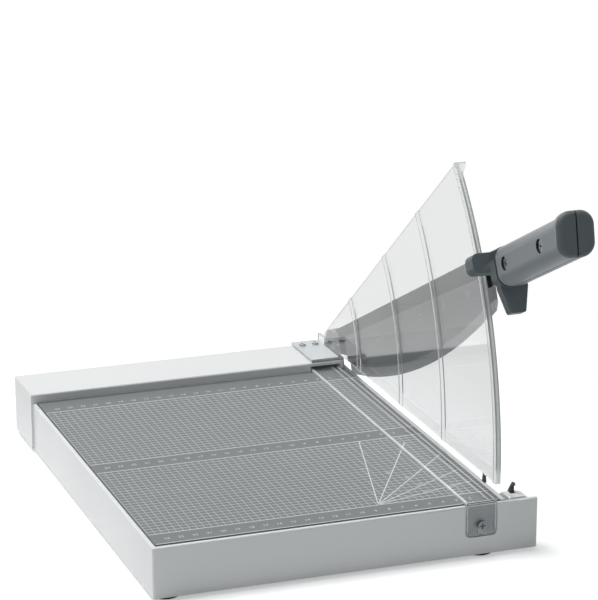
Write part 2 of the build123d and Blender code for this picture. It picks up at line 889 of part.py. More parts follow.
# Hand guard: collar behind the grip, tongue below it and a wing to the left
with BuildPart() as hand_guard:
    with BuildSketch(arm_section(collar_start)):
        with Locations((0, handle_middle)):
            RectangleRounded(
                handle_width + 2 * collar_lip, handle_height + 2 * collar_lip,
                handle_radius + collar_lip,
            )
    extrude(amount=collar_length)
    with BuildSketch(arm_section(collar_start)) as tongue:
        with BuildLine():
            Polyline(
                (-tongue_top_width / 2, handle_middle),
                (-tongue_top_width / 2, handle_middle - handle_height / 2),
                (-tongue_bottom_width / 2, handle_middle - handle_height / 2 - tongue_drop),
                (tongue_bottom_width / 2, handle_middle - handle_height / 2 - tongue_drop),
                (tongue_top_width / 2, handle_middle - handle_height / 2),
                (tongue_top_width / 2, handle_middle),
                close=True,
            )
        make_face()
        fillet(tongue.vertices().group_by(Axis.Y)[0], tongue_radius)
    extrude(amount=tongue_length)
    with BuildSketch(arm_section(wing_start)):
        with BuildLine():
            Polyline(
                (-bar_thickness / 2, wing_top),
                (-handle_width / 2 - wing_span, wing_top),
                (-handle_width / 2 - wing_span, -wing_bottom),
                (-bar_thickness / 2, -wing_bottom),
                close=True,
            )
        make_face()
    extrude(amount=collar_start - wing_start)
    wing_edges = hand_guard.edges().filter_by(Axis(arm_place(0, 0, 0), arm_section(0).z_dir))
    fillet(wing_edges.sort_by(Axis.X)[:2], wing_radius)
    with BuildSketch(arm_section(collar_start)):
        with Locations((0, handle_middle)):
            Rectangle(bar_thickness + 2 * tang_fit, tang_height + 2 * tang_fit)
    extrude(amount=collar_length, mode=Mode.SUBTRACT)

# Handle: two half shells that close on the tang, with a slanted end
end_turn = radians(arm_angle - handle_end_angle)
handle_end_plane = Plane(
    origin=arm_place(x_handle, handle_end, handle_middle),
    x_dir=(1, 0, 0), z_dir=(0, -cos(end_turn), sin(end_turn)),
)
handle_slant_height = handle_height / cos(radians(handle_end_angle))


def grip_half(side):
    """One half of the grip, the left one for -1 and the right one for 1."""
    with BuildPart() as grip:
        with BuildSketch(arm_section(handle_start)):
            with Locations((0, handle_middle)):
                RectangleRounded(handle_width, handle_height, handle_radius)
        extrude(amount=handle_end + handle_height / 2 - handle_start)
        split(bisect_by=handle_end_plane.offset(-handle_lip_length / 2), keep=Keep.BOTTOM)
        with BuildPart(mode=Mode.PRIVATE) as flare:
            for back, lip in ((0, handle_lip), (handle_lip_length, -handle_lip / 6)):
                with BuildSketch(handle_end_plane.offset(-back)):
                    RectangleRounded(
                        handle_width + 2 * lip, handle_slant_height + 2 * lip,
                        handle_radius + lip,
                    )
            loft()
            fillet(flare.faces().sort_by(Axis.Y)[0].edges(), handle_end_radius)
        add(flare.part)
        with BuildSketch(arm_section(handle_start)):
            with Locations((0, handle_middle)):
                Rectangle(bar_thickness, tang_height + 2 * tang_fit)
        extrude(amount=tang_end + tang_fit - handle_start, mode=Mode.SUBTRACT)
        split(
            bisect_by=Plane.YZ.offset(x_handle + side * parting_gap / 2),
            keep=Keep.TOP if side > 0 else Keep.BOTTOM,
        )
        bores(handle_screw_places, handle_screw_radius + screw_fit, handle_screw_length)
        bores(
            [place * Location((0, 0, handle_screw_well)) for place in handle_screw_places],
            well_radius, handle_screw_well,
        )
        for place in handle_nut_places:
            with BuildSketch(Plane(place).offset(-handle_nut)):
                RegularPolygon(handle_nut_radius + screw_fit, 6)
            extrude(amount=handle_nut + nut_cover + overrun, mode=Mode.SUBTRACT)
    return grip


handle_left = grip_half(-1)
handle_right = grip_half(1)

with BuildPart() as handle_screws:
    pan_screws(
        handle_screw_places, handle_screw_radius, handle_screw_length,
        handle_screw_head_radius, handle_screw_head,
    )

with BuildPart() as handle_nuts:
    for place in handle_nut_places:
        with BuildSketch(Plane(place).offset(-handle_nut)):
            RegularPolygon(handle_nut_radius, 6)
            Circle(handle_screw_radius + screw_fit, mode=Mode.SUBTRACT)
        extrude(amount=handle_nut)

# Clear guard: sheet with arc ribs, a thick front rim, a stop tab and a foot on the fence block
guard_bottom = guard_rise - pivot_rise
front_low = (sqrt(guard_reach**2 - guard_bottom**2), guard_bottom)
front_high = polar(guard_top_reach, guard_top_angle)
front_arc = ThreePointArc(
    front_low, polar(guard_reach, guard_top_angle * guard_mid_share), front_high
)
hub_top = polar(guard_hub, guard_top_angle + degrees(acos(guard_hub / guard_top_reach)))
rim_way = (Vector(*front_high) - front_arc.arc_center).normalized()
stop_plane = Plane(
    origin=(x_guard_right, y_pivot - front_high[0], z_pivot + front_high[1]),
    x_dir=(1, 0, 0), z_dir=(0, -rim_way.X, rim_way.Y),
)


def guard_sheet():
    """Draw the guard's side view about the pivot."""
    with BuildLine() as border:
        ThreePointArc(front_low, front_arc @ (1 / 2), front_high)
        Polyline(front_high, hub_top, (0, 0), (0, guard_bottom), front_low)
    make_face(border.edges())
    Circle(guard_hub)


with BuildPart() as guard:
    with BuildSketch(guard_plane(x_guard_right)):
        guard_sheet()
        with Locations((y_pivot - y_guard_foot[1], 0)):
            Rectangle(
                guard_foot_depth, z_pivot - z_guard_foot, align=(Align.MIN, Align.MAX)
            )
    extrude(amount=guard_thickness)
    block(
        (x_guard, x_guard_right), y_guard_foot, (z_table, z_guard_foot), mode=Mode.SUBTRACT
    )
    for reach in guard_rib_reaches:
        with BuildSketch(guard_plane(x_guard)):
            guard_sheet()
            Circle(reach + guard_rib_width / 2, mode=Mode.INTERSECT)
            Circle(reach - guard_rib_width / 2, mode=Mode.SUBTRACT)
        extrude(amount=guard_rib_height)
    with BuildSketch(guard_plane(x_guard_right + guard_rim_height)):
        guard_sheet()
        with Locations(front_arc.arc_center):
            Circle(front_arc.radius - guard_rim_width, mode=Mode.SUBTRACT)
        Circle(guard_reach / 2, mode=Mode.SUBTRACT)
    extrude(amount=guard_thickness + 2 * guard_rim_height)
    with BuildSketch(stop_plane):
        with BuildLine():
            Polyline(
                (0, 0), (stop_out, 0), (stop_out, -stop_plate),
                (stop_foot, -stop_drop), (0, -stop_drop),
                close=True,
            )
        make_face()
    extrude(amount=-guard_rim_width)
    block(
        (x_guard_foot, x_guard_right), y_guard_foot, (z_guard_foot, z_guard_foot + guard_foot)
    )
    bores(guard_screw_places, screw_radius + screw_fit, guard_screw_length)

with BuildPart() as guard_gasket:
    block(
        (x_guard_foot + gasket_margin, x_guard_right - gasket_margin),
        (y_guard_foot[0] + gasket_margin, y_guard_foot[1] - gasket_margin),
        (z_fence, z_guard_foot),
    )
    bores(guard_screw_places, screw_radius + screw_fit, guard_screw_length)

with BuildPart() as guard_screws:
    pan_screws(
        guard_screw_places, screw_radius, guard_screw_length, screw_head_radius, screw_head
    )

# Dark rest bonded under the guard's lower edge, just above the table
rest_neck = rest_half_width * rest_neck_share
rest_plane = Plane(
    origin=((x_guard + x_guard_right + rest_thickness) / 2, y_front + rest_from_front, z_table),
    x_dir=(0, -1, 0), z_dir=(-1, 0, 0),
)
with BuildPart() as guard_rest:
    with BuildSketch(rest_plane):
        with BuildLine():
            Polyline(
                (-rest_half_width, rest_clear),
                (rest_half_width, rest_clear),
                (rest_neck, guard_rise),
                (-rest_neck, guard_rise),
                close=True,
            )
        make_face()
    extrude(amount=rest_thickness)

# Clear clamp strip with its front tab, and what guides it
with BuildPart() as clamp_strip:
    block(
        (x_clamp, x_clamp_right),
        (y_front + tab_inset, y_fence + clamp_tail),
        (z_clamp, z_clamp_top),
    )
    block(
        (x_clamp, x_clamp_right),
        (y_front + tab_inset, y_front + tab_inset + tab_thickness),
        (z_table - tab_drop, z_clamp_top),
    )
    fillet(clamp_strip.edges().filter_by(Axis.Y).group_by(Axis.Z)[0], tab_corner)
    chamfer(clamp_strip.edges().group_by(Axis.Z)[-1].filter_by(Axis.Y), clamp_edge)
    fillet(
        clamp_strip.edges().filter_by(Axis.X).group_by(Axis.Z)[-1].sort_by(Axis.Y)[0],
        tab_thickness * edge_share,
    )
    block(
        (
            x_clamp_middle - clamp_screw_radius - clamp_slot_gap,
            x_clamp_middle + clamp_screw_radius + clamp_slot_gap,
        ),
        (y_front, y_front + y_recess),
        (z_table - tab_drop - overrun, z_table - clamp_screw_drop),
        mode=Mode.SUBTRACT,
    )
    bores([clamp_screw_place], clamp_screw_radius + clamp_slot_gap, y_recess)
    bores(
        [upward(x, y, z_clamp_top) for x, y in guide_points],
        guide_radius + guide_fit, clamp_thickness + overrun,
    )

with BuildPart() as clamp_screw:
    pan_screws(
        [clamp_screw_place], clamp_screw_radius, wall + clamp_pad,
        clamp_screw_head_radius, clamp_screw_head,
    )

with BuildPart() as clamp_guide_pins:
    with Locations(*[(x, y, z_table - shelf) for x, y in guide_points]):
        Cylinder(guide_radius, shelf + guide_above, align=(Align.CENTER, Align.CENTER, Align.MIN))

# Latch: housing behind the front wall, pin and hooked fin
latch_axis = rightward(x_fin - latch_pin_side, y_latch, z_latch)
latch_pin_length = x_housing_right - x_fin + latch_pin_side

with BuildPart() as latch_housing:
    block((x_housing, x_housing_right), (y_front + wall, y_housing_rear), (z_wall, z_housing))
    crown = latch_housing.edges().group_by(Axis.Z)[-1]
    fillet(crown.filter_by(Axis.X).sort_by(Axis.Y)[-1], housing_rear_radius)
    crown = latch_housing.edges().group_by(Axis.Z)[-1]
    fillet(crown.filter_by(Axis.Y).sort_by(Axis.X)[-1], housing_radius)
    fillet(latch_housing.edges().group_by(Axis.Z)[-1].filter_by(Axis.Y).sort_by(Axis.X)[0], edge)
    block(
        (x_fin - fin_side_gap, x_fin_right + fin_side_gap),
        (y_latch - slot_front, y_latch + slot_rear),
        (z_latch - slot_depth, z_housing + overrun),
        mode=Mode.SUBTRACT,
    )
    with Locations(latch_axis):
        Cylinder(
            latch_pin_radius + screw_fit, latch_pin_length + overrun,
            align=(Align.CENTER, Align.CENTER, Align.MIN), mode=Mode.SUBTRACT,
        )
    bores(housing_screw_places, screw_radius + screw_fit, housing_screw_length)

with BuildPart() as housing_screws:
    pan_screws(
        housing_screw_places, screw_radius, housing_screw_length, screw_head_radius, screw_head
    )

with BuildPart() as latch_pin:
    with Locations(latch_axis):
        Cylinder(
            latch_pin_radius, latch_pin_length, align=(Align.CENTER, Align.CENTER, Align.MIN)
        )

with BuildPart() as arm_latch:
    with BuildSketch(
        Plane(origin=(x_fin_right, y_latch, z_latch), x_dir=(0, -1, 0), z_dir=(-1, 0, 0))
    ):
        with BuildLine():
            Polyline(
                (-latch_barrel, 0),
                (fin_nose - fin_top_width, fin_height),
                (fin_nose - fin_tip, fin_height),
                (fin_nose, fin_height - fin_nose_drop),
                (latch_barrel, fin_height - fin_hook_drop),
                (latch_barrel, 0),
                close=True,
            )
        make_face()
        Circle(latch_barrel)
        Circle(latch_pin_radius + pivot_fit, mode=Mode.SUBTRACT)
    extrude(amount=fin_thickness)
    with BuildSketch(Plane.XZ.offset(-y_latch)):
        with BuildLine():
            Polyline(
                (x_fin - overrun, z_housing + fin_taper_foot),
                (x_fin, z_housing + fin_taper_foot),
                (x_fin + fin_taper, z_latch + fin_height),
                (x_fin + fin_taper, z_latch + fin_height + overrun),
                (x_fin - overrun, z_latch + fin_height + overrun),
                close=True,
            )
        make_face()
    extrude(amount=fin_nose + latch_barrel, both=True, mode=Mode.SUBTRACT)

# One labelled file for each piece
pieces = {
    "base_tray": base_tray,
    "bottom_plate": bottom_plate,
    "bottom_plate_screws": bottom_plate_screws,
    "cutting_mat": cutting_mat,
    "fence_cover": fence_cover,
    "fence_plate": fence_plate,
    "fence_plate_screws": fence_plate_screws,
    "fence_screws": fence_screws,
    "rubber_feet": rubber_feet,
    "foot_screws": foot_screws,
    "blade_carrier": blade_carrier,
    "lower_blade": lower_blade,
    "lower_blade_screws": lower_blade_screws,
    "pivot_bracket": pivot_bracket,
    "bracket_backing": bracket_backing,
    "bracket_screws": bracket_screws,
    "pivot_bolt": pivot_bolt,
    "thrust_washer": thrust_washer,
    "pivot_washer": pivot_washer,
    "spring_washer": spring_washer,
    "guard": guard,
    "guard_gasket": guard_gasket,
    "guard_screws": guard_screws,
    "guard_rest": guard_rest,
    "clamp_screw": clamp_screw,
    "clamp_guide_pins": clamp_guide_pins,
    "latch_housing": latch_housing,
    "housing_screws": housing_screws,
    "latch_pin": latch_pin,
    "clamp_strip": clamp_strip,
    "arm_latch": arm_latch,
    "arm_bar": arm_bar,
    "upper_blade": upper_blade,
    "blade_screws": blade_screws,
    "pivot_bush": pivot_bush,
    "hand_guard": hand_guard,
    "handle_left": handle_left,
    "handle_right": handle_right,
    "handle_screws": handle_screws,
    "handle_nuts": handle_nuts,
    "arm_bumper": arm_bumper,
    "catch_pin": catch_pin,
}
for name, piece in pieces.items():
    piece.part.label = name
    export_step(piece.part, f"parts/{name}.step")
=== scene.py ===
"""Looks of the desk paper trimmer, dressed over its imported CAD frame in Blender."""

import logging
import math
from dataclasses import dataclass, field
from enum import Enum

import bmesh
import bpy
from bpy.types import ID, Material, Mesh, Node, NodeSocket, NodeTree, Object
from mathutils import Matrix, Vector

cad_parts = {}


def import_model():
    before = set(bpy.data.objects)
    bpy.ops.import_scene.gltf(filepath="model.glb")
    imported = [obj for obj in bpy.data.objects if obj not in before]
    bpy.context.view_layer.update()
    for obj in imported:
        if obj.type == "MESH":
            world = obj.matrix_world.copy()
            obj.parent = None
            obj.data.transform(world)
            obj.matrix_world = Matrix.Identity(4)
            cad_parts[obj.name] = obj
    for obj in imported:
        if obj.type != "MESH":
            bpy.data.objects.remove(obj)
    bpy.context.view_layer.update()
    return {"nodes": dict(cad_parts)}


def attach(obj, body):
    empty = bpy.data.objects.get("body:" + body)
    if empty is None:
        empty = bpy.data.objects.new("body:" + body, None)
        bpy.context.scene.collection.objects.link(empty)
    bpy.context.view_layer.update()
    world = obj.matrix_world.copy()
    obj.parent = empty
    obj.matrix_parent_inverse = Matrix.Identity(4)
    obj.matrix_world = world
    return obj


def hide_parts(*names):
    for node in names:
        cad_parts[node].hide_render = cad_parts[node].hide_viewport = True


LOG = logging.getLogger("trimmer")
MM = 0.001
MERGE_GAP = 0.002 * MM
FLAT_TURN = math.radians(0.4)
SOFT_TURN = math.radians(34.0)
CLEAR_TURN = math.radians(28.0)
EDGE_TURN = math.radians(50.0)
EDGE_SEGMENTS = 2
FACE_WEIGHT = 100
STRETCHES = ("Stretch X", "Stretch Y", "Stretch Z")
Pair = tuple[float, float]
Triple = tuple[float, float, float]
Colour = tuple[float, float, float, float]


class Body(Enum):
    """The bodies of the machine that move as one."""

    BASE = "base"
    CLAMP = "clamp"
    LATCH = "latch"
    ARM = "arm"


class Axis(Enum):
    """The way in which a metal piece was drawn, ground or turned."""

    ALONG = (1.0, 0.035, 1.0)
    UPRIGHT = (1.0, 1.0, 0.03)
    TURNED = (1.0, 1.0, 1.0)


def paint(red: float, green: float, blue: float) -> Colour:
    """Turn a colour as a screen shows it into the linear colour of a shader.

    Args:
        red: Red from 0 to 255.
        green: Green from 0 to 255.
        blue: Blue from 0 to 255.

    Returns:
        The linear colour with an alpha of 1.
    """
    linear = []
    for part in (red / 255, green / 255, blue / 255):
        linear.append(part / 12.92 if part <= 0.04045 else ((part + 0.055) / 1.055) ** 2.4)
    return linear[0], linear[1], linear[2], 1.0


class Wiring:
    """Short hand for adding and joining the nodes of one tree."""

    def __init__(self, tree: NodeTree) -> None:
        """Keep the tree that is wired."""
        self.tree = tree

    def add(self, kind: str, **settings: object) -> Node:
        """Add a node.

        Args:
            kind: Blender's name of the node type.
            **settings: Properties of the node and their values.

        Returns:
            The new node.
        """
        node = self.tree.nodes.new(kind)
        for name, value in settings.items():
            setattr(node, name, value)
        return node

    def feed(self, socket: NodeSocket, value: object) -> None:
        """Give a socket a plain value, or a link where the value is a socket.

        Args:
            socket: The socket.
            value: The value, or the socket that it is linked to.
        """
        if isinstance(value, NodeSocket):
            self.tree.links.new(value, socket)
        else:
            socket.default_value = value

    def maths(self, task: str, first: object, second: object = 0.0,
              third: object = 0.0) -> NodeSocket:
        """Add a Math node.

        Args:
            task: The operation.
            first: First operand, a number or a socket.
            second: Second operand.
            third: Third operand.

        Returns:
            The result's socket.
        """
        node = self.add("ShaderNodeMath", operation=task)
        for socket, value in zip(node.inputs, (first, second, third)):
            self.feed(socket, value)
        return node.outputs[0]

    def spread(self, value: NodeSocket, low: object, high: object, start: float,
               end: float) -> NodeSocket:
        """Map a value between start and end to the range from low to high.

        Args:
            value: The socket that is mapped.
            low: Result at start.
            high: Result at end.
            start: Where the range starts.
            end: Where the range ends.

        Returns:
            The mapped value's socket.
        """
        node = self.add("ShaderNodeMapRange", clamp=True)
        for socket, item in zip(node.inputs, (value, start, end, low, high)):
            self.feed(socket, item)
        return node.outputs[0]

    def blend(self, share: object, first: object, second: object,
              way: str = "MIX") -> NodeSocket:
        """Mix two colours.

        Args:
            share: Share of the second colour.
            first: First colour.
            second: Second colour.
            way: The blend type.

        Returns:
            The mixed colour's socket.
        """
        node = self.add("ShaderNodeMix", data_type="RGBA", blend_type=way)
        self.feed(node.inputs[0], share)
        self.feed(node.inputs[6], first)
        self.feed(node.inputs[7], second)
        return node.outputs[2]

    def noise(self, place: NodeSocket, scale: object, detail: float, rough: float) -> NodeSocket:
        """Add a noise texture.

        Args:
            place: Coordinates.
            scale: Scale, a number or a socket.
            detail: Octaves.
            rough: Roughness of the octaves.

        Returns:
            The noise value's socket.
        """
        node = self.add("ShaderNodeTexNoise", noise_dimensions="3D")
        self.feed(node.inputs["Vector"], place)
        self.feed(node.inputs["Scale"], scale)
        self.feed(node.inputs["Detail"], detail)
        self.feed(node.inputs["Roughness"], rough)
        return node.outputs[0]

    def place(self) -> NodeSocket:
        """Return the socket of Object coordinates."""
        return self.add("ShaderNodeTexCoord").outputs["Object"]

    def mix_shaders(self, share: object, first: NodeSocket, second: NodeSocket) -> NodeSocket:
        """Mix two shaders.

        Args:
            share: Share of the second shader.
            first: First shader.
            second: Second shader.

        Returns:
            The mixed shader's socket.
        """
        node = self.add("ShaderNodeMixShader")
        for socket, value in zip(node.inputs, (share, first, second)):
            self.feed(socket, value)
        return node.outputs[0]

    def show(self, surface: NodeSocket) -> None:
        """Feed a shader to the output of a material."""
        output = next(node for node in self.tree.nodes if node.type == "OUTPUT_MATERIAL")
        self.feed(output.inputs["Surface"], surface)


class Effects:
    """Shader effects that several finishes share, each one node group built once."""

    GRAIN_SHARE = 0.35
    LINE_SHARE = 0.7
    CLOUD_SCALE = 22.0
    NOISE_MIDDLE = (0.3, 0.7)
    UPWARD = (0.3, 0.95)
    DUST_PATCH = (0.35, 0.75)
    THIN_DUST = 0.15
    RUBBED_PATCH = (0.5, 0.72)
    SPECK_SCALE = 700.0
    FAINT_SPECK = 0.5

    def __init__(self) -> None:
        """Build the groups."""
        self.grain = self._grain()
        self.streaks = self._streaks()
        self.dust = self._dust()
        self.rubbing = self._rubbing()

    @staticmethod
    def _group(name: str, inputs: dict[str, float],
               outputs: tuple[str, ...]) -> tuple[Wiring, Node, Node]:
        """Start a group with number sockets.

        Args:
            name: The group's name.
            inputs: Names of the inputs and their starting values.
            outputs: Names of the outputs.

        Returns:
            The wiring, the input node and the output node.
        """
        tree = bpy.data.node_groups.new(name, "ShaderNodeTree")
        for label, value in inputs.items():
            socket = tree.interface.new_socket(label, in_out="INPUT", socket_type="NodeSocketFloat")
            socket.default_value = value
        for label in outputs:
            tree.interface.new_socket(label, in_out="OUTPUT", socket_type="NodeSocketFloat")
        wiring = Wiring(tree)
        return wiring, wiring.add("NodeGroupInput"), wiring.add("NodeGroupOutput")

    def _surface(self, wiring: Wiring, given: Node, made: Node, fine: NodeSocket, cloud: NodeSocket,
                 fine_share: float) -> None:
        """Turn a fine and a cloudy noise into the tone, gloss and height of a surface.

        Args:
            wiring: The group's wiring.
            given: Its input node.
            made: Its output node.
            fine: The fine noise, which is also the height.
            cloud: The cloudy noise.
            fine_share: Share of the fine noise in the tone and the gloss.
        """
        mixed = wiring.maths("MULTIPLY_ADD", fine, fine_share,
                             wiring.maths("MULTIPLY", cloud, 1.0 - fine_share))
        centred = wiring.maths("MULTIPLY", wiring.maths("SUBTRACT", mixed, 0.5), 2.0)
        tone = wiring.maths("MULTIPLY_ADD", centred, given.outputs["Tone spread"], 1.0)
        gloss = wiring.spread(mixed, given.outputs["Gloss low"], given.outputs["Gloss high"],
                              *self.NOISE_MIDDLE)
        for label, value in (("Tone", tone), ("Roughness", gloss), ("Height", fine)):
            wiring.feed(made.inputs[label], value)

    def _grain(self) -> NodeTree:
        """Build the grain of a moulded surface: slight tone, gloss and height changes.

        Returns:
            The group.
        """
        wiring, given, made = self._group(
            "moulded grain",
            {"Grain scale": 900.0, "Mottle scale": 30.0, "Tone spread": 0.03,
             "Gloss low": 0.4, "Gloss high": 0.5},
            ("Tone", "Roughness", "Height"))
        place = wiring.place()
        fine = wiring.noise(place, given.outputs["Grain scale"], detail=2.0, rough=0.55)
        cloud = wiring.noise(place, given.outputs["Mottle scale"], detail=3.0, rough=0.6)
        self._surface(wiring, given, made, fine, cloud, self.GRAIN_SHARE)
        return wiring.tree

    def _streaks(self) -> NodeTree:
        """Build the lines that drawing, grinding or turning leaves on metal.

        Returns:
            The group.
        """
        wiring, given, made = self._group(
            "drawn streaks",
            {**dict.fromkeys(STRETCHES, 1.0), "Line scale": 900.0, "Tone spread": 0.1,
             "Gloss low": 0.25, "Gloss high": 0.4},
            ("Tone", "Roughness", "Height"))
        join = wiring.add("ShaderNodeCombineXYZ")
        for socket, label in zip(join.inputs, STRETCHES):
            wiring.feed(socket, given.outputs[label])
        drawn = wiring.add("ShaderNodeVectorMath", operation="MULTIPLY")
        wiring.feed(drawn.inputs[0], wiring.place())
        wiring.feed(drawn.inputs[1], join.outputs[0])
        lines = wiring.noise(drawn.outputs[0], given.outputs["Line scale"], detail=3.0, rough=0.6)
        cloud = wiring.noise(wiring.place(), self.CLOUD_SCALE, detail=2.0, rough=0.5)
        self._surface(wiring, given, made, lines, cloud, self.LINE_SHARE)
        return wiring.tree

    def _dust(self) -> NodeTree:
        """Build a faint film of dust that lies on faces that look up.

        Returns:
            The group.
        """
        wiring, given, made = self._group(
            "settled dust", {"Amount": 0.06, "Patch scale": 26.0}, ("Mask",))
        upward = wiring.add("ShaderNodeSeparateXYZ")
        wiring.feed(upward.inputs[0], wiring.add("ShaderNodeNewGeometry").outputs["Normal"])
        facing = wiring.spread(upward.outputs[2], 0.0, 1.0, *self.UPWARD)
        patches = wiring.noise(wiring.place(), given.outputs["Patch scale"], detail=4.0, rough=0.65)
        film = wiring.maths("MULTIPLY", facing,
                            wiring.spread(patches, self.THIN_DUST, 1.0, *self.DUST_PATCH))
        wiring.feed(made.inputs["Mask"], wiring.maths("MULTIPLY", film, given.outputs["Amount"]))
        return wiring.tree

    def _rubbing(self) -> NodeTree:
        """Build the patches that use rubs smooth.

        Returns:
            The group.
        """
        wiring, given, made = self._group(
            "rubbed patches", {"Patch scale": 40.0, "Amount": 0.3}, ("Mask",))
        place = wiring.place()
        cloud = wiring.noise(place, given.outputs["Patch scale"], detail=3.0, rough=0.6)
        patch = wiring.spread(cloud, 0.0, 1.0, *self.RUBBED_PATCH)
        fine = wiring.noise(place, self.SPECK_SCALE, detail=2.0, rough=0.6)
        specks = wiring.spread(fine, self.FAINT_SPECK, 1.0, *self.NOISE_MIDDLE)
        mask = wiring.maths("MULTIPLY", patch, specks)
        wiring.feed(made.inputs["Mask"], wiring.maths("MULTIPLY", mask, given.outputs["Amount"]))
        return wiring.tree

    @staticmethod
    def use(wiring: Wiring, group: NodeTree, values: dict[str, float]) -> Node:
        """Place a group in a material with its own values.

        Args:
            wiring: The material's wiring.
            group: The group.
            values: Values of its inputs.

        Returns:
            The group's node.
        """
        node = wiring.add("ShaderNodeGroup", node_tree=group)
        for label, value in values.items():
            node.inputs[label].default_value = value
        return node


def start_material(name: str) -> tuple[Material, Wiring, Node]:
    """Make an empty material with a Principled shader.

    Args:
        name: The material's name.

    Returns:
        The material, its wiring and its Principled shader.
    """
    material = bpy.data.materials.new(name)
    material.use_nodes = True
    material.node_tree.nodes.clear()
    wiring = Wiring(material.node_tree)
    shader = wiring.add("ShaderNodeBsdfPrincipled")
    output = wiring.add("ShaderNodeOutputMaterial")
    wiring.feed(output.inputs["Surface"], shader.outputs[0])
    return material, wiring, shader


def raise_height(wiring: Wiring, shader: Node, height: NodeSocket,
                 strength: float, depth: float) -> None:
    """Feed a height to the shader's normal through a Bump node.

    Args:
        wiring: The material's wiring.
        shader: The Principled shader.
        height: The height's socket.
        strength: Strength of the bump.
        depth: Depth of the bump in metres.
    """
    bump = wiring.add("ShaderNodeBump")
    wiring.feed(bump.inputs["Strength"], strength)
    wiring.feed(bump.inputs["Distance"], depth)
    wiring.feed(bump.inputs["Height"], height)
    wiring.feed(shader.inputs["Normal"], bump.outputs[0])


@dataclass(frozen=True)
class Grain:
    """The grain of a moulded, coated or clear surface."""

    scale: float = 1500.0
    depth: float = 0.02 * MM
    strength: float = 0.25
    mottle: float = 34.0
    spread: float = 0.035


@dataclass(frozen=True)
class GrainedFinish:
    """What all grained finishes share: a shade, a range of gloss and a grain."""

    name: str
    slot: str
    shade: Triple
    gloss: Pair = (0.42, 0.52)
    grain: Grain = Grain()

    def lay(self, wiring: Wiring, effects: Effects, shader: Node) -> tuple[Node, NodeSocket]:
        """Wire the grain to the shader's roughness.

        Args:
            wiring: The material's wiring.
            effects: The shared effects.
            shader: The Principled shader.

        Returns:
            The grain's node and the socket of the colour.
        """
        grain = effects.use(wiring, effects.grain, {
            "Grain scale": self.grain.scale, "Mottle scale": self.grain.mottle,
            "Tone spread": self.grain.spread,
            "Gloss low": self.gloss[0], "Gloss high": self.gloss[1]})
        wiring.feed(shader.inputs["Roughness"], grain.outputs["Roughness"])
        return grain, wiring.blend(1.0, paint(*self.shade), grain.outputs["Tone"], "MULTIPLY")


@dataclass(frozen=True)
class MouldedFinish(GrainedFinish):
    """A moulded plastic, rubber or powder coat with a fine grain."""

    dust: float = 0.05
    dust_shade: Triple = (196, 194, 190)
    rubbed: float = 0.0
    rub_gain: float = 1.35
    rub_lift: float = 0.01
    shine: float = 0.5

    def material(self, effects: Effects) -> Material:
        """Build the material.

        Args:
            effects: The shared effects.

        Returns:
            The material.
        """
        material, wiring, shader = start_material(self.name)
        grain, colour = self.lay(wiring, effects, shader)
        if self.rubbed:
            rub = effects.use(wiring, effects.rubbing, {"Amount": self.rubbed})
            paler = [min(1.0, part * self.rub_gain + self.rub_lift)
                     for part in paint(*self.shade)[:3]]
            colour = wiring.blend(rub.outputs["Mask"], colour, (*paler, 1.0))
        if self.dust:
            film = effects.use(wiring, effects.dust, {"Amount": self.dust})
            colour = wiring.blend(film.outputs["Mask"], colour, paint(*self.dust_shade))
        wiring.feed(shader.inputs["Base Color"], colour)
        wiring.feed(shader.inputs["Specular IOR Level"], self.shine)
        raise_height(wiring, shader, grain.outputs["Height"], self.grain.strength,
                     self.grain.depth)
        return material


@dataclass(frozen=True)
class ClearFinish(GrainedFinish):
    """A clear plastic that lets lamps through."""

    gloss: Pair = (0.0, 0.012)
    grain: Grain = Grain(scale=60.0, mottle=14.0, spread=0.02)
    passed: float = 0.86
    bend: float = 1.49

    def material(self, effects: Effects) -> Material:
        """Build the material.

        Args:
            effects: The shared effects.

        Returns:
            The material.
        """
        material, wiring, shader = start_material(self.name)
        _, colour = self.lay(wiring, effects, shader)
        wiring.feed(shader.inputs["Base Color"], colour)
        wiring.feed(shader.inputs["Transmission Weight"], 1.0)
        wiring.feed(shader.inputs["IOR"], self.bend)
        through = wiring.add("ShaderNodeBsdfTransparent")
        wiring.feed(through.inputs[0], (self.passed, self.passed, self.passed, 1.0))
        shadow = wiring.add("ShaderNodeLightPath").outputs["Is Shadow Ray"]
        wiring.show(wiring.mix_shaders(shadow, shader.outputs[0], through.outputs[0]))
        return material


@dataclass(frozen=True)
class CutEdgeFinish(GrainedFinish):
    """The frosted look of a clear sheet's narrow sides."""

    gloss: Pair = (0.2, 0.34)
    grain: Grain = Grain(scale=700.0, mottle=90.0, spread=0.05)
    cover: float = 0.8

    def material(self, effects: Effects) -> Material:
        """Build the material.

        Args:
            effects: The shared effects.

        Returns:
            The material.
        """
        material, wiring, shader = start_material(self.name)
        _, colour = self.lay(wiring, effects, shader)
        wiring.feed(shader.inputs["Base Color"], colour)
        wiring.feed(shader.inputs["Alpha"], self.cover)
        return material


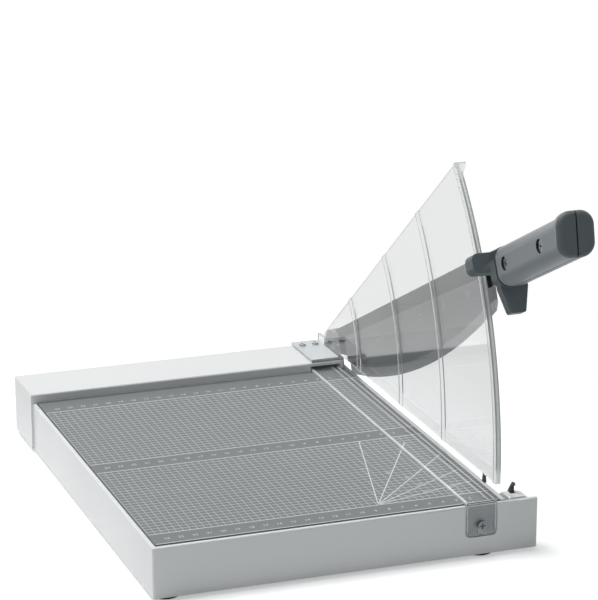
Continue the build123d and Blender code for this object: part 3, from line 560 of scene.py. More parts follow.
@dataclass(frozen=True)
class MetalFinish:
    """A bare metal with drawn, ground or turned lines."""

    name: str
    slot: str
    shade: Triple
    axis: Axis = Axis.TURNED
    gloss: Pair = (0.24, 0.38)
    line_scale: float = 900.0
    line_depth: float = 0.01 * MM
    line_strength: float = 0.15
    tone_spread: float = 0.12
    rubbed: float = 0.0
    rub_scale: float = 120.0
    rub_gain: float = 0.62

    def colour(self, wiring: Wiring, effects: Effects, shader: Node) -> NodeSocket:
        """Wire the lines to the shader's roughness and normal.

        Args:
            wiring: The material's wiring.
            effects: The shared effects.
            shader: The Principled shader.

        Returns:
            The socket of the metal's colour.
        """
        lines = effects.use(wiring, effects.streaks, {
            **dict(zip(STRETCHES, self.axis.value)),
            "Line scale": self.line_scale, "Tone spread": self.tone_spread,
            "Gloss low": self.gloss[0], "Gloss high": self.gloss[1]})
        shade = paint(*self.shade)
        colour = wiring.blend(1.0, shade, lines.outputs["Tone"], "MULTIPLY")
        if self.rubbed:
            rub = effects.use(wiring, effects.rubbing,
                              {"Amount": self.rubbed, "Patch scale": self.rub_scale})
            darker = [part * self.rub_gain for part in shade[:3]]
            colour = wiring.blend(rub.outputs["Mask"], colour, (*darker, 1.0))
        wiring.feed(shader.inputs["Roughness"], lines.outputs["Roughness"])
        raise_height(wiring, shader, lines.outputs["Height"], self.line_strength, self.line_depth)
        return colour

    def material(self, effects: Effects) -> Material:
        """Build the material.

        Args:
            effects: The shared effects.

        Returns:
            The material.
        """
        material, wiring, shader = start_material(self.name)
        wiring.feed(shader.inputs["Metallic"], 1.0)
        wiring.feed(shader.inputs["Base Color"], self.colour(wiring, effects, shader))
        return material


@dataclass(frozen=True)
class BladeFinish(MetalFinish):
    """Ground blade steel with a finer band along its curved edge."""

    centre: Pair = (0.0, 0.0)
    radius: float = 1.0
    band: float = 7.5 * MM
    band_blur: float = 0.3 * MM
    band_share: float = 0.7
    band_shade: Triple = (205, 207, 208)

    def colour(self, wiring: Wiring, effects: Effects, shader: Node) -> NodeSocket:
        """Lay the finer band over the ground steel.

        Args:
            wiring: The material's wiring.
            effects: The shared effects.
            shader: The Principled shader.

        Returns:
            The socket of the blade's colour.
        """
        ground = super().colour(wiring, effects, shader)
        split = wiring.add("ShaderNodeSeparateXYZ")
        wiring.feed(split.inputs[0], wiring.place())
        away = [wiring.maths("POWER", wiring.maths("SUBTRACT", part, middle), 2.0)
                for part, middle in zip(split.outputs[1:], self.centre)]
        reach = wiring.maths("SQRT", wiring.maths("ADD", *away))
        inner = self.radius - self.band
        mask = wiring.spread(reach, 0.0, 1.0, inner - self.band_blur, inner + self.band_blur)
        fine = wiring.blend(self.band_share, ground, paint(*self.band_shade))
        return wiring.blend(mask, ground, fine)


Finish = MouldedFinish | ClearFinish | CutEdgeFinish | MetalFinish


@dataclass(frozen=True)
class Pivot:
    """The arm's pivot and its lean at rest, for places given along the arm."""

    y: float = 156.5 * MM
    z: float = 54.0 * MM
    lean: float = math.radians(26.0)

    def at(self, reach: float, height: float) -> Pair:
        """Return the Y and Z of a place on the arm.

        Args:
            reach: Distance along the arm from the pivot, in millimetres.
            height: Height over the arm's line, in millimetres.

        Returns:
            Y and Z in metres.
        """
        cos, sin = math.cos(self.lean), math.sin(self.lean)
        return (self.y + MM * (height * sin - reach * cos),
                self.z + MM * (reach * sin + height * cos))


def circle_through(first: Pair, second: Pair, third: Pair) -> tuple[Pair, float]:
    """Find the circle through three points.

    Args:
        first: First point.
        second: Second point.
        third: Third point.

    Returns:
        Its centre and radius.
    """
    (ax, ay), (bx, by), (cx, cy) = first, second, third
    twice = 2 * (ax * (by - cy) + bx * (cy - ay) + cx * (ay - by))
    squares = [x * x + y * y for x, y in (first, second, third)]
    centre = ((squares[0] * (by - cy) + squares[1] * (cy - ay) + squares[2] * (ay - by)) / twice,
              (squares[0] * (cx - bx) + squares[1] * (ax - cx) + squares[2] * (bx - ax)) / twice)
    return centre, math.hypot(ax - centre[0], ay - centre[1])


@dataclass(frozen=True)
class BladeEdge:
    """Three places on the blade's curved edge, along and over the arm in millimetres."""

    heel: Pair = (22.0, -30.0)
    belly: Pair = (187.0, -48.6)
    tip: Pair = (329.0, -32.0)

    def finish(self, pivot: Pivot) -> BladeFinish:
        """Make the finish of the blade, with the circle of its edge.

        Args:
            pivot: The arm's pivot.

        Returns:
            The finish.
        """
        places = (pivot.at(*place) for place in (self.heel, self.belly, self.tip))
        centre, radius = circle_through(*places)
        return BladeFinish(
            "ground_blade_steel", "blade_steel", (148, 150, 152), Axis.UPRIGHT, gloss=(0.58, 0.68),
            line_scale=2600.0, tone_spread=0.05, line_strength=0.06, rubbed=0.12,
            centre=centre, radius=radius)


@dataclass
class Palette:
    """All finishes of the machine and the materials made from them."""

    effects: Effects
    finishes: dict[str, Finish] = field(default_factory=dict)
    made: dict[str, Material] = field(default_factory=dict)

    def fill(self) -> None:
        """Name every finish of the machine and make its material."""
        self.finishes = {**self._housings(), **self._handles(), **self._metals(), **self._clears()}
        self.made = {name: finish.material(self.effects) for name, finish in self.finishes.items()}

    @staticmethod
    def _housings() -> dict[str, Finish]:
        """List the finishes of the housings, the mat and the coated steel.

        Returns:
            The finishes by name.
        """
        return {
            "shell": MouldedFinish(
                "shell_satin", "shell_grey", (230, 231, 231), (0.28, 0.38),
                Grain(scale=1300.0, depth=0.012 * MM, strength=0.2, mottle=18.0, spread=0.012)),
            "mat": MouldedFinish(
                "mat_panel", "mat_grey", (121, 125, 126), (0.58, 0.72),
                Grain(scale=900.0, depth=0.02 * MM, strength=0.3, mottle=24.0, spread=0.035),
                dust=0.03, rubbed=0.12, shine=0.35),
            "ink": MouldedFinish(
                "mat_print", "mat_grey", (214, 217, 217), (0.5, 0.62),
                Grain(scale=1500.0, depth=0.004 * MM, strength=0.1, mottle=60.0, spread=0.06),
                dust=0.0, rubbed=0.2, shine=0.35),
            "plate": MouldedFinish(
                "plate_coat", "plate_steel", (150, 152, 154), (0.45, 0.6),
                Grain(scale=1400.0, depth=0.03 * MM, strength=0.3, mottle=30.0, spread=0.04),
                dust=0.04),
            "coat": MouldedFinish(
                "arm_coat", "bracket_steel", (46, 49, 52), (0.42, 0.54),
                Grain(scale=1600.0, depth=0.015 * MM, strength=0.2, mottle=26.0, spread=0.03),
                dust=0.03, rubbed=0.1),
            "bracket": MouldedFinish(
                "bracket_coat", "bracket_steel", (142, 145, 147), (0.4, 0.52),
                Grain(scale=1500.0, depth=0.015 * MM, strength=0.2, mottle=26.0, spread=0.03),
                dust=0.03, rubbed=0.08),
        }

    @staticmethod
    def _handles() -> dict[str, Finish]:
        """List the finishes of the handle, the small plastic pieces and the rubber.

        Returns:
            The finishes by name.
        """
        return {
            "grip": MouldedFinish(
                "grip_plastic", "grip_grey", (136, 141, 145), (0.44, 0.56),
                Grain(scale=1700.0, depth=0.018 * MM, strength=0.22, mottle=36.0, spread=0.03),
                dust=0.02, rubbed=0.12, shine=0.35),
            "hand_guard": MouldedFinish(
                "hand_guard_plastic", "hand_guard_grey", (93, 102, 105), (0.46, 0.58),
                Grain(scale=1700.0, depth=0.018 * MM, strength=0.22, mottle=36.0, spread=0.04),
                dust=0.02, rubbed=0.1, shine=0.35),
            "dark": MouldedFinish(
                "latch_plastic", "dark_plastic", (58, 62, 65), (0.44, 0.58),
                Grain(scale=1500.0, depth=0.025 * MM, strength=0.3, mottle=60.0, spread=0.05),
                rubbed=0.15),
            "rubber": MouldedFinish(
                "black_rubber", "black_rubber", (30, 31, 32), (0.72, 0.86),
                Grain(scale=1100.0, depth=0.05 * MM, strength=0.4, mottle=80.0, spread=0.1),
                dust=0.08, shine=0.3),
            "gasket": MouldedFinish(
                "seat_rubber", "gasket_grey", (166, 169, 171), (0.66, 0.8),
                Grain(scale=1000.0, depth=0.03 * MM, strength=0.3, mottle=50.0, spread=0.04),
                shine=0.3),
            "capped_screw": MouldedFinish(
                "screw_cap", "screw_steel", (206, 210, 212), (0.3, 0.4),
                Grain(scale=1200.0, depth=0.01 * MM, strength=0.1, mottle=60.0, spread=0.03)),
        }

    @staticmethod
    def _metals() -> dict[str, Finish]:
        """List the finishes of the screws, the rail, the bush and the blades.

        Returns:
            The finishes by name.
        """
        return {
            "screw": MetalFinish(
                "screw_zinc", "screw_steel", (164, 167, 170), line_scale=500.0, rubbed=0.35),
            "dark_screw": MetalFinish(
                "screw_dark_zinc", "screw_steel", (118, 121, 124), gloss=(0.3, 0.44),
                line_scale=500.0, rubbed=0.3),
            "flush_screw": MetalFinish(
                "screw_flush_steel", "screw_steel", (172, 174, 176), gloss=(0.44, 0.54),
                line_scale=500.0, rubbed=0.1),
            "carrier": MetalFinish(
                "drawn_aluminium", "carrier_aluminium", (206, 208, 210), Axis.ALONG,
                gloss=(0.3, 0.44), line_scale=800.0),
            "edge_steel": MetalFinish(
                "counter_blade_steel", "blade_steel", (190, 192, 194), Axis.ALONG,
                gloss=(0.2, 0.34), rubbed=0.2),
            "brass": MetalFinish(
                "bush_brass", "bush_brass", (205, 172, 104), line_scale=600.0, rubbed=0.3),
            "blade": BladeEdge().finish(Pivot()),
        }

    @staticmethod
    def _clears() -> dict[str, Finish]:
        """List the finishes of the clear sheet and the clear strip.

        Returns:
            The finishes by name.
        """
        slot = "clear_sheet"
        return {
            "clear": ClearFinish("clear_sheet", slot, (228, 229, 229)),
            "clear_clamp": ClearFinish("clear_clamp", slot, (190, 194, 196)),
            "clear_edge": CutEdgeFinish("clear_edge", slot, (240, 242, 242), cover=0.64),
            "clear_foot": CutEdgeFinish(
                "clear_foot", slot, (208, 212, 214), (0.12, 0.22), cover=0.97),
            "clear_film": CutEdgeFinish(
                "clear_film", slot, (240, 242, 242), (0.02, 0.06), cover=0.02),
            # Near-white, nearly opaque strips as painted highlights on the guard's ribs and rim and
            # on the clamp's edges.
            "clear_painted_highlight": CutEdgeFinish(
                "clear_painted_highlight", slot, (250, 250, 250), (0.1, 0.2), cover=0.85),
        }


def add_object(name: str, data: ID) -> Object:
    """Add an object to the scene.

    Args:
        name: Its name.
        data: Its mesh, text, lamp or camera.

    Returns:
        The object.
    """
    thing = bpy.data.objects.new(name, data)
    bpy.context.scene.collection.objects.link(thing)
    return thing


def evaluated_mesh(thing: Object) -> Mesh:
    """Make a plain mesh of an object as its modifiers leave it.

    Args:
        thing: An object of the scene.

    Returns:
        The new mesh.
    """
    bpy.context.view_layer.update()
    graph = bpy.context.evaluated_depsgraph_get()
    return bpy.data.meshes.new_from_object(thing.evaluated_get(graph))


def join_meshes(name: str, meshes: list[Mesh]) -> Mesh:
    """Join meshes into one and drop the parts.

    Args:
        name: Name of the joined mesh.
        meshes: The parts.

    Returns:
        The joined mesh.
    """
    shape = bmesh.new()
    for mesh in meshes:
        shape.from_mesh(mesh)
        bpy.data.meshes.remove(mesh)
    joined = bpy.data.meshes.new(name)
    shape.to_mesh(joined)
    shape.free()
    return joined


class LineMaker:
    """Geometry Nodes trees for the lines printed on the mat, the strips of painted highlight and
    painted shade, and the beads that paint highlights on the guard.
    """

    BEAD_SIDES = 10

    def __init__(self) -> None:
        """Build the trees."""
        self.rows = self._rows()
        self.fan = self._fan()
        self.bead = self._bead()

    @staticmethod
    def _tree(name: str, inputs: dict[str, str]) -> tuple[Wiring, Node, Node]:
        """Start a tree with named inputs and a material.

        Args:
            name: The tree's name.
            inputs: Names of the inputs and the kinds of their sockets.

        Returns:
            The wiring, the input node and the output node.
        """
        tree = bpy.data.node_groups.new(name, "GeometryNodeTree")
        tree.interface.new_socket("Geometry", in_out="OUTPUT", socket_type="NodeSocketGeometry")
        for label, kind in (inputs | {"Material": "Material"}).items():
            tree.interface.new_socket(label, in_out="INPUT", socket_type=f"NodeSocket{kind}")
        wiring = Wiring(tree)
        return wiring, wiring.add("NodeGroupInput"), wiring.add("NodeGroupOutput")

    @staticmethod
    def _close(wiring: Wiring, given: Node, made: Node, shape: NodeSocket) -> None:
        """End a tree in Realize Instances and Set Material.

        Args:
            wiring: The tree's wiring.
            given: Its input node.
            made: Its output node.
            shape: The socket of the mesh or of the instances.
        """
        real = wiring.add("GeometryNodeRealizeInstances")
        dressed = wiring.add("GeometryNodeSetMaterial")
        wiring.feed(real.inputs[0], shape)
        wiring.feed(dressed.inputs["Geometry"], real.outputs[0])
        wiring.feed(dressed.inputs["Material"], given.outputs["Material"])
        wiring.feed(made.inputs[0], dressed.outputs[0])

    def _rows(self) -> NodeTree:
        """Build the tree of parallel lines at an even step.

        Returns:
            The tree.
        """
        wiring, given, made = self._tree("ruled lines", {
            "Lines": "Int", "First": "Vector", "Step": "Vector", "Line size": "Vector"})
        row = wiring.add("GeometryNodeMeshLine", mode="OFFSET")
        wiring.feed(row.inputs["Count"], given.outputs["Lines"])
        wiring.feed(row.inputs["Start Location"], given.outputs["First"])
        wiring.feed(row.inputs["Offset"], given.outputs["Step"])
        stroke = wiring.add("GeometryNodeMeshCube")
        wiring.feed(stroke.inputs["Size"], given.outputs["Line size"])
        copies = wiring.add("GeometryNodeInstanceOnPoints")
        wiring.feed(copies.inputs["Points"], row.outputs[0])
        wiring.feed(copies.inputs["Instance"], stroke.outputs[0])
        self._close(wiring, given, made, copies.outputs[0])
        return wiring.tree

    def _fan(self) -> NodeTree:
        """Build the tree of rays that fan out from one point, cut off at one side.

        Returns:
            The tree.
        """
        wiring, given, made = self._tree("fanned rays", {
            "Rays": "Int", "Angle step": "Float", "Longest": "Float", "Room": "Float",
            "Hub": "Vector", "Line width": "Float", "Line height": "Float"})
        points = wiring.add("GeometryNodeMeshLine", mode="OFFSET")
        wiring.feed(points.inputs["Count"], given.outputs["Rays"])
        wiring.feed(points.inputs["Start Location"], given.outputs["Hub"])
        points.inputs["Offset"].default_value = (0.0, 0.0, 0.0)
        size = wiring.add("ShaderNodeCombineXYZ")
        size.inputs[0].default_value = 1.0
        wiring.feed(size.inputs[1], given.outputs["Line width"])
        wiring.feed(size.inputs[2], given.outputs["Line height"])
        stroke = wiring.add("GeometryNodeMeshCube")
        wiring.feed(stroke.inputs["Size"], size.outputs[0])
        shifted = wiring.add("GeometryNodeTransform")
        wiring.feed(shifted.inputs["Geometry"], stroke.outputs[0])
        shifted.inputs["Translation"].default_value = (0.5, 0.0, 0.0)
        number = wiring.add("GeometryNodeInputIndex").outputs[0]
        angle = wiring.maths("MULTIPLY", wiring.maths("ADD", number, 1.0),
                             given.outputs["Angle step"])
        room = wiring.maths("DIVIDE", given.outputs["Room"], wiring.maths("COSINE", angle))
        length = wiring.maths("MINIMUM", given.outputs["Longest"], room)
        turn = wiring.add("ShaderNodeCombineXYZ")
        wiring.feed(turn.inputs[2], angle)
        stretch = wiring.add("ShaderNodeCombineXYZ")
        wiring.feed(stretch.inputs[0], length)
        stretch.inputs[1].default_value = stretch.inputs[2].default_value = 1.0
        copies = wiring.add("GeometryNodeInstanceOnPoints")
        wiring.feed(copies.inputs["Points"], points.outputs[0])
        wiring.feed(copies.inputs["Instance"], shifted.outputs[0])
        wiring.feed(copies.inputs["Rotation"], turn.outputs[0])
        wiring.feed(copies.inputs["Scale"], stretch.outputs[0])
        self._close(wiring, given, made, copies.outputs[0])
        return wiring.tree

    def _bead(self) -> NodeTree:
        """Build the tree of a round bead along an arc about the origin.

        Returns:
            The tree.
        """
        # The bead carries a painted highlight along an edge of the guard.
        wiring, given, made = self._tree("highlight bead", {
            "Points": "Int", "Arc radius": "Float", "First angle": "Float", "Sweep": "Float",
            "Bead radius": "Float"})
        way = wiring.add("GeometryNodeCurveArc", mode="RADIUS")
        wiring.feed(way.inputs["Resolution"], given.outputs["Points"])
        wiring.feed(way.inputs["Radius"], given.outputs["Arc radius"])
        wiring.feed(way.inputs["Start Angle"], given.outputs["First angle"])
        wiring.feed(way.inputs["Sweep Angle"], given.outputs["Sweep"])
        section = wiring.add("GeometryNodeCurvePrimitiveCircle", mode="RADIUS")
        section.inputs["Resolution"].default_value = self.BEAD_SIDES
        wiring.feed(section.inputs["Radius"], given.outputs["Bead radius"])
        swept = wiring.add("GeometryNodeCurveToMesh")
        wiring.feed(swept.inputs["Curve"], way.outputs["Curve"])
        wiring.feed(swept.inputs["Profile Curve"], section.outputs["Curve"])
        swept.inputs["Fill Caps"].default_value = True
        self._close(wiring, given, made, swept.outputs[0])
        return wiring.tree

    @staticmethod
    def run(tree: NodeTree, values: dict[str, object]) -> Mesh:
        """Run a tree with the given inputs and keep the result as a plain mesh.

        Args:
            tree: The tree.
            values: Values of its inputs by name.

        Returns:
            The mesh.
        """
        blank = bpy.data.meshes.new("line carrier")
        carrier = add_object("line carrier", blank)
        modifier = carrier.modifiers.new("lines", "NODES")
        modifier.node_group = tree
        for item in tree.interface.items_tree:
            if item.in_out == "INPUT":
                modifier[item.identifier] = values[item.name]
        mesh = evaluated_mesh(carrier)
        bpy.data.objects.remove(carrier)
        bpy.data.meshes.remove(blank)
        return mesh

    def rule(self, ink: Material, first: Triple, size: Triple, lines: int = 1,
             step: Triple = (0.0, 0.0, 0.0)) -> Mesh:
        """Rule lines of one size at an even step.

        Args:
            ink: The material of the lines.
            first: Middle of the first line.
            size: Size of each line.
            lines: How many lines there are.
            step: Way from one line to the next.

        Returns:
            The mesh of the lines.
        """
        return self.run(self.rows, {
            "Lines": lines, "First": first, "Step": step, "Line size": size, "Material": ink})


@dataclass
class Workshop:
    """What every sub-assembly needs: the frame's nodes, the palette and the trees of lines."""

    nodes: dict[str, Object]
    palette: Palette
    maker: LineMaker

    def recast(self, finish: str, body: Body, name: str, *nodes: str, edge: float = 0.0,
               turn: float = SOFT_TURN, cut: tuple[Vector, Vector] | None = None) -> Object:
        """Copy CAD nodes into one piece with merged points, soft edges and clean shading.

        Args:
            finish: Name of the finish.
            body: The body that carries the piece.
            name: Name of the piece.
            *nodes: Names of the nodes that it stands for.
            edge: Width of the broken edges in metres, 0 for none.
            turn: Edges that turn more than this stay sharp.
            cut: A point and a direction of a plane along which faces are divided, or nothing.

        Returns:
            The piece.
        """
        shape = bmesh.new()
        for node in nodes:
            shape.from_mesh(self.nodes[node].data)
        bmesh.ops.remove_doubles(shape, verts=shape.verts, dist=MERGE_GAP)
        bmesh.ops.dissolve_limit(shape, angle_limit=FLAT_TURN, verts=shape.verts, edges=shape.edges)
        if cut:
            bmesh.ops.bisect_plane(shape, geom=[*shape.verts, *shape.edges, *shape.faces],
                                   plane_co=cut[0], plane_no=cut[1])
        mesh = bpy.data.meshes.new(name)
        shape.to_mesh(mesh)
        shape.free()
        mesh.polygons.foreach_set("use_smooth", [True] * len(mesh.polygons))
        mesh.set_sharp_from_angle(angle=turn)
        piece = add_object(name, mesh)
        if edge:
            rounding = piece.modifiers.new("broken edges", "BEVEL")
            rounding.width = edge
            rounding.segments = EDGE_SEGMENTS
            rounding.limit_method = "ANGLE"
            rounding.angle_limit = EDGE_TURN
            rounding.use_clamp_overlap = True
            rounding.miter_outer = "MITER_ARC"
        shading = piece.modifiers.new("even shading", "WEIGHTED_NORMAL")
        shading.keep_sharp = True
        shading.weight = FACE_WEIGHT
        self.settle(piece)
        return self.mount(piece, finish, body, *nodes)

    @staticmethod
    def settle(piece: Object) -> None:
        """Turn a piece's modifiers into plain mesh.

        Args:
            piece: The piece.
        """
        mesh = evaluated_mesh(piece)
        mesh.name = piece.name
        piece.modifiers.clear()
        old = piece.data
        piece.data = mesh
        bpy.data.meshes.remove(old)

    def fit(self, finish: str, body: Body, name: str, meshes: list[Mesh]) -> None:
        """Join meshes into one piece that stands for no node.

        Args:
            finish: Name of the finish.
            body: The body that carries the piece.
            name: Name of the piece.
            meshes: The meshes in their places.
        """
        self.mount(add_object(name, join_meshes(name, meshes)), finish, body)

    def mount(self, piece: Object, finish: str, body: Body, *nodes: str) -> Object:
        """Give a finished piece its material and body, and hide the nodes that it stands for.

        Args:
            piece: The piece.
            finish: Name of the finish.
            body: The body that carries it.
            *nodes: Names of the nodes.

        Returns:
            The piece.
        """
        if not piece.data.materials:
            piece.data.materials.append(self.palette.made[finish])
        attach(piece, body.value)
        if nodes:
            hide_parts(*nodes)
        LOG.info("%s: %d faces, finish %s, on %s", piece.name, len(piece.data.polygons), finish,
                 body.value)
        return piece


@dataclass
class Figures:
    """Figures made from text as thin plain meshes."""

    height: float = 0.02 * MM
    curve_steps: int = 3

    def cut(self, text: str, size: float, x: float, y: float, z: float) -> Mesh:
        """Make one figure that lies flat.

        Args:
            text: The figure.
            size: Size of the type in metres.
            x: X of its middle.
            y: Y of its middle.
            z: Z of its underside.

        Returns:
            The mesh in its place.
        """
        curve = bpy.data.curves.new("figure", "FONT")
        curve.body = text
        curve.size = size
        curve.align_x = "CENTER"
        curve.align_y = "CENTER"
        curve.extrude = self.height / 2
        curve.resolution_u = self.curve_steps
        carrier = add_object("figure", curve)
        mesh = evaluated_mesh(carrier)
        bpy.data.objects.remove(carrier)
        bpy.data.curves.remove(curve)
        mesh.materials.clear()
        mesh.transform(Matrix.Translation((x, y, z + self.height / 2)))
        return mesh


@dataclass
class Mat:
    """The grey panel of the table and all that is printed on it."""

    shop: Workshop
    zero_x: float = 114.8 * MM
    left_x: float = -135.2 * MM
    pitch: float = 5.0 * MM
    columns: int = 51
    front_zone: Pair = (-156.2 * MM, -31.2 * MM)
    rear_zone: Pair = (-13.2 * MM, 106.8 * MM)
    figure_rows: Triple = (-165.9 * MM, -22.4 * MM, 113.4 * MM)
    figure_size: float = 4.2 * MM
    figure_steps: int = 2
    last_figure: int = 24
    line_width: float = 0.27 * MM
    cross_width: float = 0.42 * MM
    band_rule_width: float = 0.95 * MM
    front_rule: float = -173.9 * MM
    # A dark strip at the joint in front of the mat, as painted shade of the gap to the wall.
    joint: float = -175.3 * MM
    joint_width: float = 1.5 * MM
    ink_height: float = 0.03 * MM
    hub: Pair = (30.7 * MM, -155.6 * MM)
    ray_width: float = 0.75 * MM
    ray_step: float = math.radians(15.0)
    ray_longest: float = 128.0 * MM
    ray_room: float = 79.0 * MM
    ray_figures: tuple[float, ...] = (43.0 * MM, 50.0 * MM, 57.0 * MM, 64.0 * MM, 71.0 * MM)
    ray_figure_size: float = 3.4 * MM
    ray_figure_aside: float = 2.2 * MM

    def build(self) -> None:
        """Build and dress the panel, its ruling, its rays, its figures and a dark strip at its
        front joint, as painted shade of the gap.
        """
        panel = self.shop.recast("mat", Body.BASE, "mat_panel", "cutting_mat")
        top = max(corner[2] for corner in panel.bound_box)
        sides = [corner[0] for corner in panel.bound_box]
        middle = top + self.ink_height / 2
        self.shop.fit("ink", Body.BASE, "mat_ruling", self._ruling(middle))
        self.shop.fit("ink", Body.BASE, "angle_rays", [self._rays(middle + self.ink_height / 2)])
        self.shop.fit("ink", Body.BASE, "scale_figures", self._figures(top))
        # Black strip along the mat's front edge as painted shade of the gap there.
        seam = self.shop.maker.rule(
            self.shop.palette.made["rubber"], ((min(sides) + max(sides)) / 2, self.joint, middle),
            (max(sides) - min(sides), self.joint_width, self.ink_height))
        self.shop.fit("rubber", Body.BASE, "mat_gap_painted_shade", [seam])

    def _ruling(self, middle: float) -> list[Mesh]:
        """Rule the fine grid and the heavier lines beside the rows of figures.

        Args:
            middle: Z of the middle of the ink.

        Returns:
            The meshes of the lines.
        """
        ink = self.shop.palette.made["ink"]
        rule = self.shop.maker.rule
        width = self.pitch * (self.columns - 1)
        centre = self.left_x + width / 2
        cross_size = (width, self.cross_width, self.ink_height)
        band_size = (width, self.band_rule_width, self.ink_height)
        parts = []
        for low, high in (self.front_zone, self.rear_zone):
            depth = high - low
            crosses = round(depth / self.pitch) - 1
            parts += [
                rule(ink, (self.left_x, (low + high) / 2, middle),
                     (self.line_width, depth, self.ink_height), self.columns,
                     (self.pitch, 0.0, 0.0)),
                rule(ink, (centre, low + self.pitch, middle), cross_size, crosses,
                     (0.0, self.pitch, 0.0)),
                rule(ink, (centre, low, middle), band_size, 2, (0.0, depth, 0.0)),
            ]
        parts.append(rule(ink, (centre, self.front_rule, middle), band_size))
        return parts

    def _rays(self, middle: float) -> Mesh:
        """Draw the rays of the angles.

        Args:
            middle: Z of the middle of the rays.

        Returns:
            The mesh of the rays.
        """
        return self.shop.maker.run(self.shop.maker.fan, {
            "Rays": len(self.ray_figures), "Angle step": self.ray_step, "Longest": self.ray_longest,
            "Room": self.ray_room, "Hub": (*self.hub, middle), "Line width": self.ray_width,
            "Line height": self.ink_height, "Material": self.shop.palette.made["ink"]})

    def _figures(self, top: float) -> list[Mesh]:
        """Set the centimetre figures of each row and the degrees of the rays.

        Args:
            top: Z of the panel's top.

        Returns:
            The meshes of the figures.
        """
        figures = Figures()
        parts = []
        for number in range(1, self.last_figure + 1):
            x = self.zero_x - number * self.figure_steps * self.pitch
            for y in self.figure_rows:
                parts.append(figures.cut(str(number), self.figure_size, x, y, top))
        for number, away in enumerate(self.ray_figures, start=1):
            angle = self.ray_step * number
            along, aside = math.cos(angle), math.sin(angle)
            x = self.hub[0] + away * along - self.ray_figure_aside * aside
            y = self.hub[1] + away * aside + self.ray_figure_aside * along
            degrees = f"{round(math.degrees(angle))}°"
            parts.append(figures.cut(degrees, self.ray_figure_size, x, y, top))
        return parts


@dataclass
class Tray:
    """The moulded tray with its underside."""

    shop: Workshop
    plate_edge: float = 0.3 * MM

    def build(self) -> None:
        """Build and dress the tray, its plate, feet and screws."""
        self.shop.recast("shell", Body.BASE, "tray_shell", "base_tray")
        self.shop.recast("plate", Body.BASE, "tray_floor_plate", "bottom_plate",
                         edge=self.plate_edge)
        self.shop.recast("screw", Body.BASE, "floor_plate_screws", "bottom_plate_screws")
        self.shop.recast("rubber", Body.BASE, "feet", "rubber_feet")
        self.shop.recast("screw", Body.BASE, "feet_screws", "foot_screws")


@dataclass
class Fence:
    """The raised block at the back."""

    shop: Workshop
    plate_edge: float = 0.3 * MM

    def build(self) -> None:
        """Build and dress the block, its plate and screws."""
        self.shop.recast("shell", Body.BASE, "fence_shell", "fence_cover")
        self.shop.recast("plate", Body.BASE, "fence_floor_plate", "fence_plate",
                         edge=self.plate_edge)
        self.shop.recast("screw", Body.BASE, "fence_floor_screws", "fence_plate_screws")
        self.shop.recast("screw", Body.BASE, "fence_joint_screws", "fence_screws")


@dataclass
class CutRail:
    """The counter blade, its carrier and the bracket of the arm."""

    shop: Workshop
    edge: float = 0.25 * MM
    blade_edge: float = 0.12 * MM

    def build(self) -> None:
        """Build and dress the rail, the bracket and the pivot's hardware."""
        self.shop.recast("carrier", Body.BASE, "blade_carrier_bar", "blade_carrier", edge=self.edge)
        self.shop.recast("edge_steel", Body.BASE, "counter_blade", "lower_blade",
                         edge=self.blade_edge)
        self.shop.recast("screw", Body.BASE, "counter_blade_screws", "lower_blade_screws")
        self.shop.recast("bracket", Body.BASE, "arm_bracket", "pivot_bracket", edge=self.edge)
        self.shop.recast("bracket", Body.BASE, "arm_bracket_backing", "bracket_backing",
                         edge=self.edge)
        for name, node in (("arm_bracket_screws", "bracket_screws"),
                           ("pivot_shoulder_bolt", "pivot_bolt"),
                           ("inner_thrust_washer", "thrust_washer"),
                           ("bolt_washer", "pivot_washer"),
                           ("bolt_spring_washer", "spring_washer")):
            self.shop.recast("screw", Body.BASE, name, node)


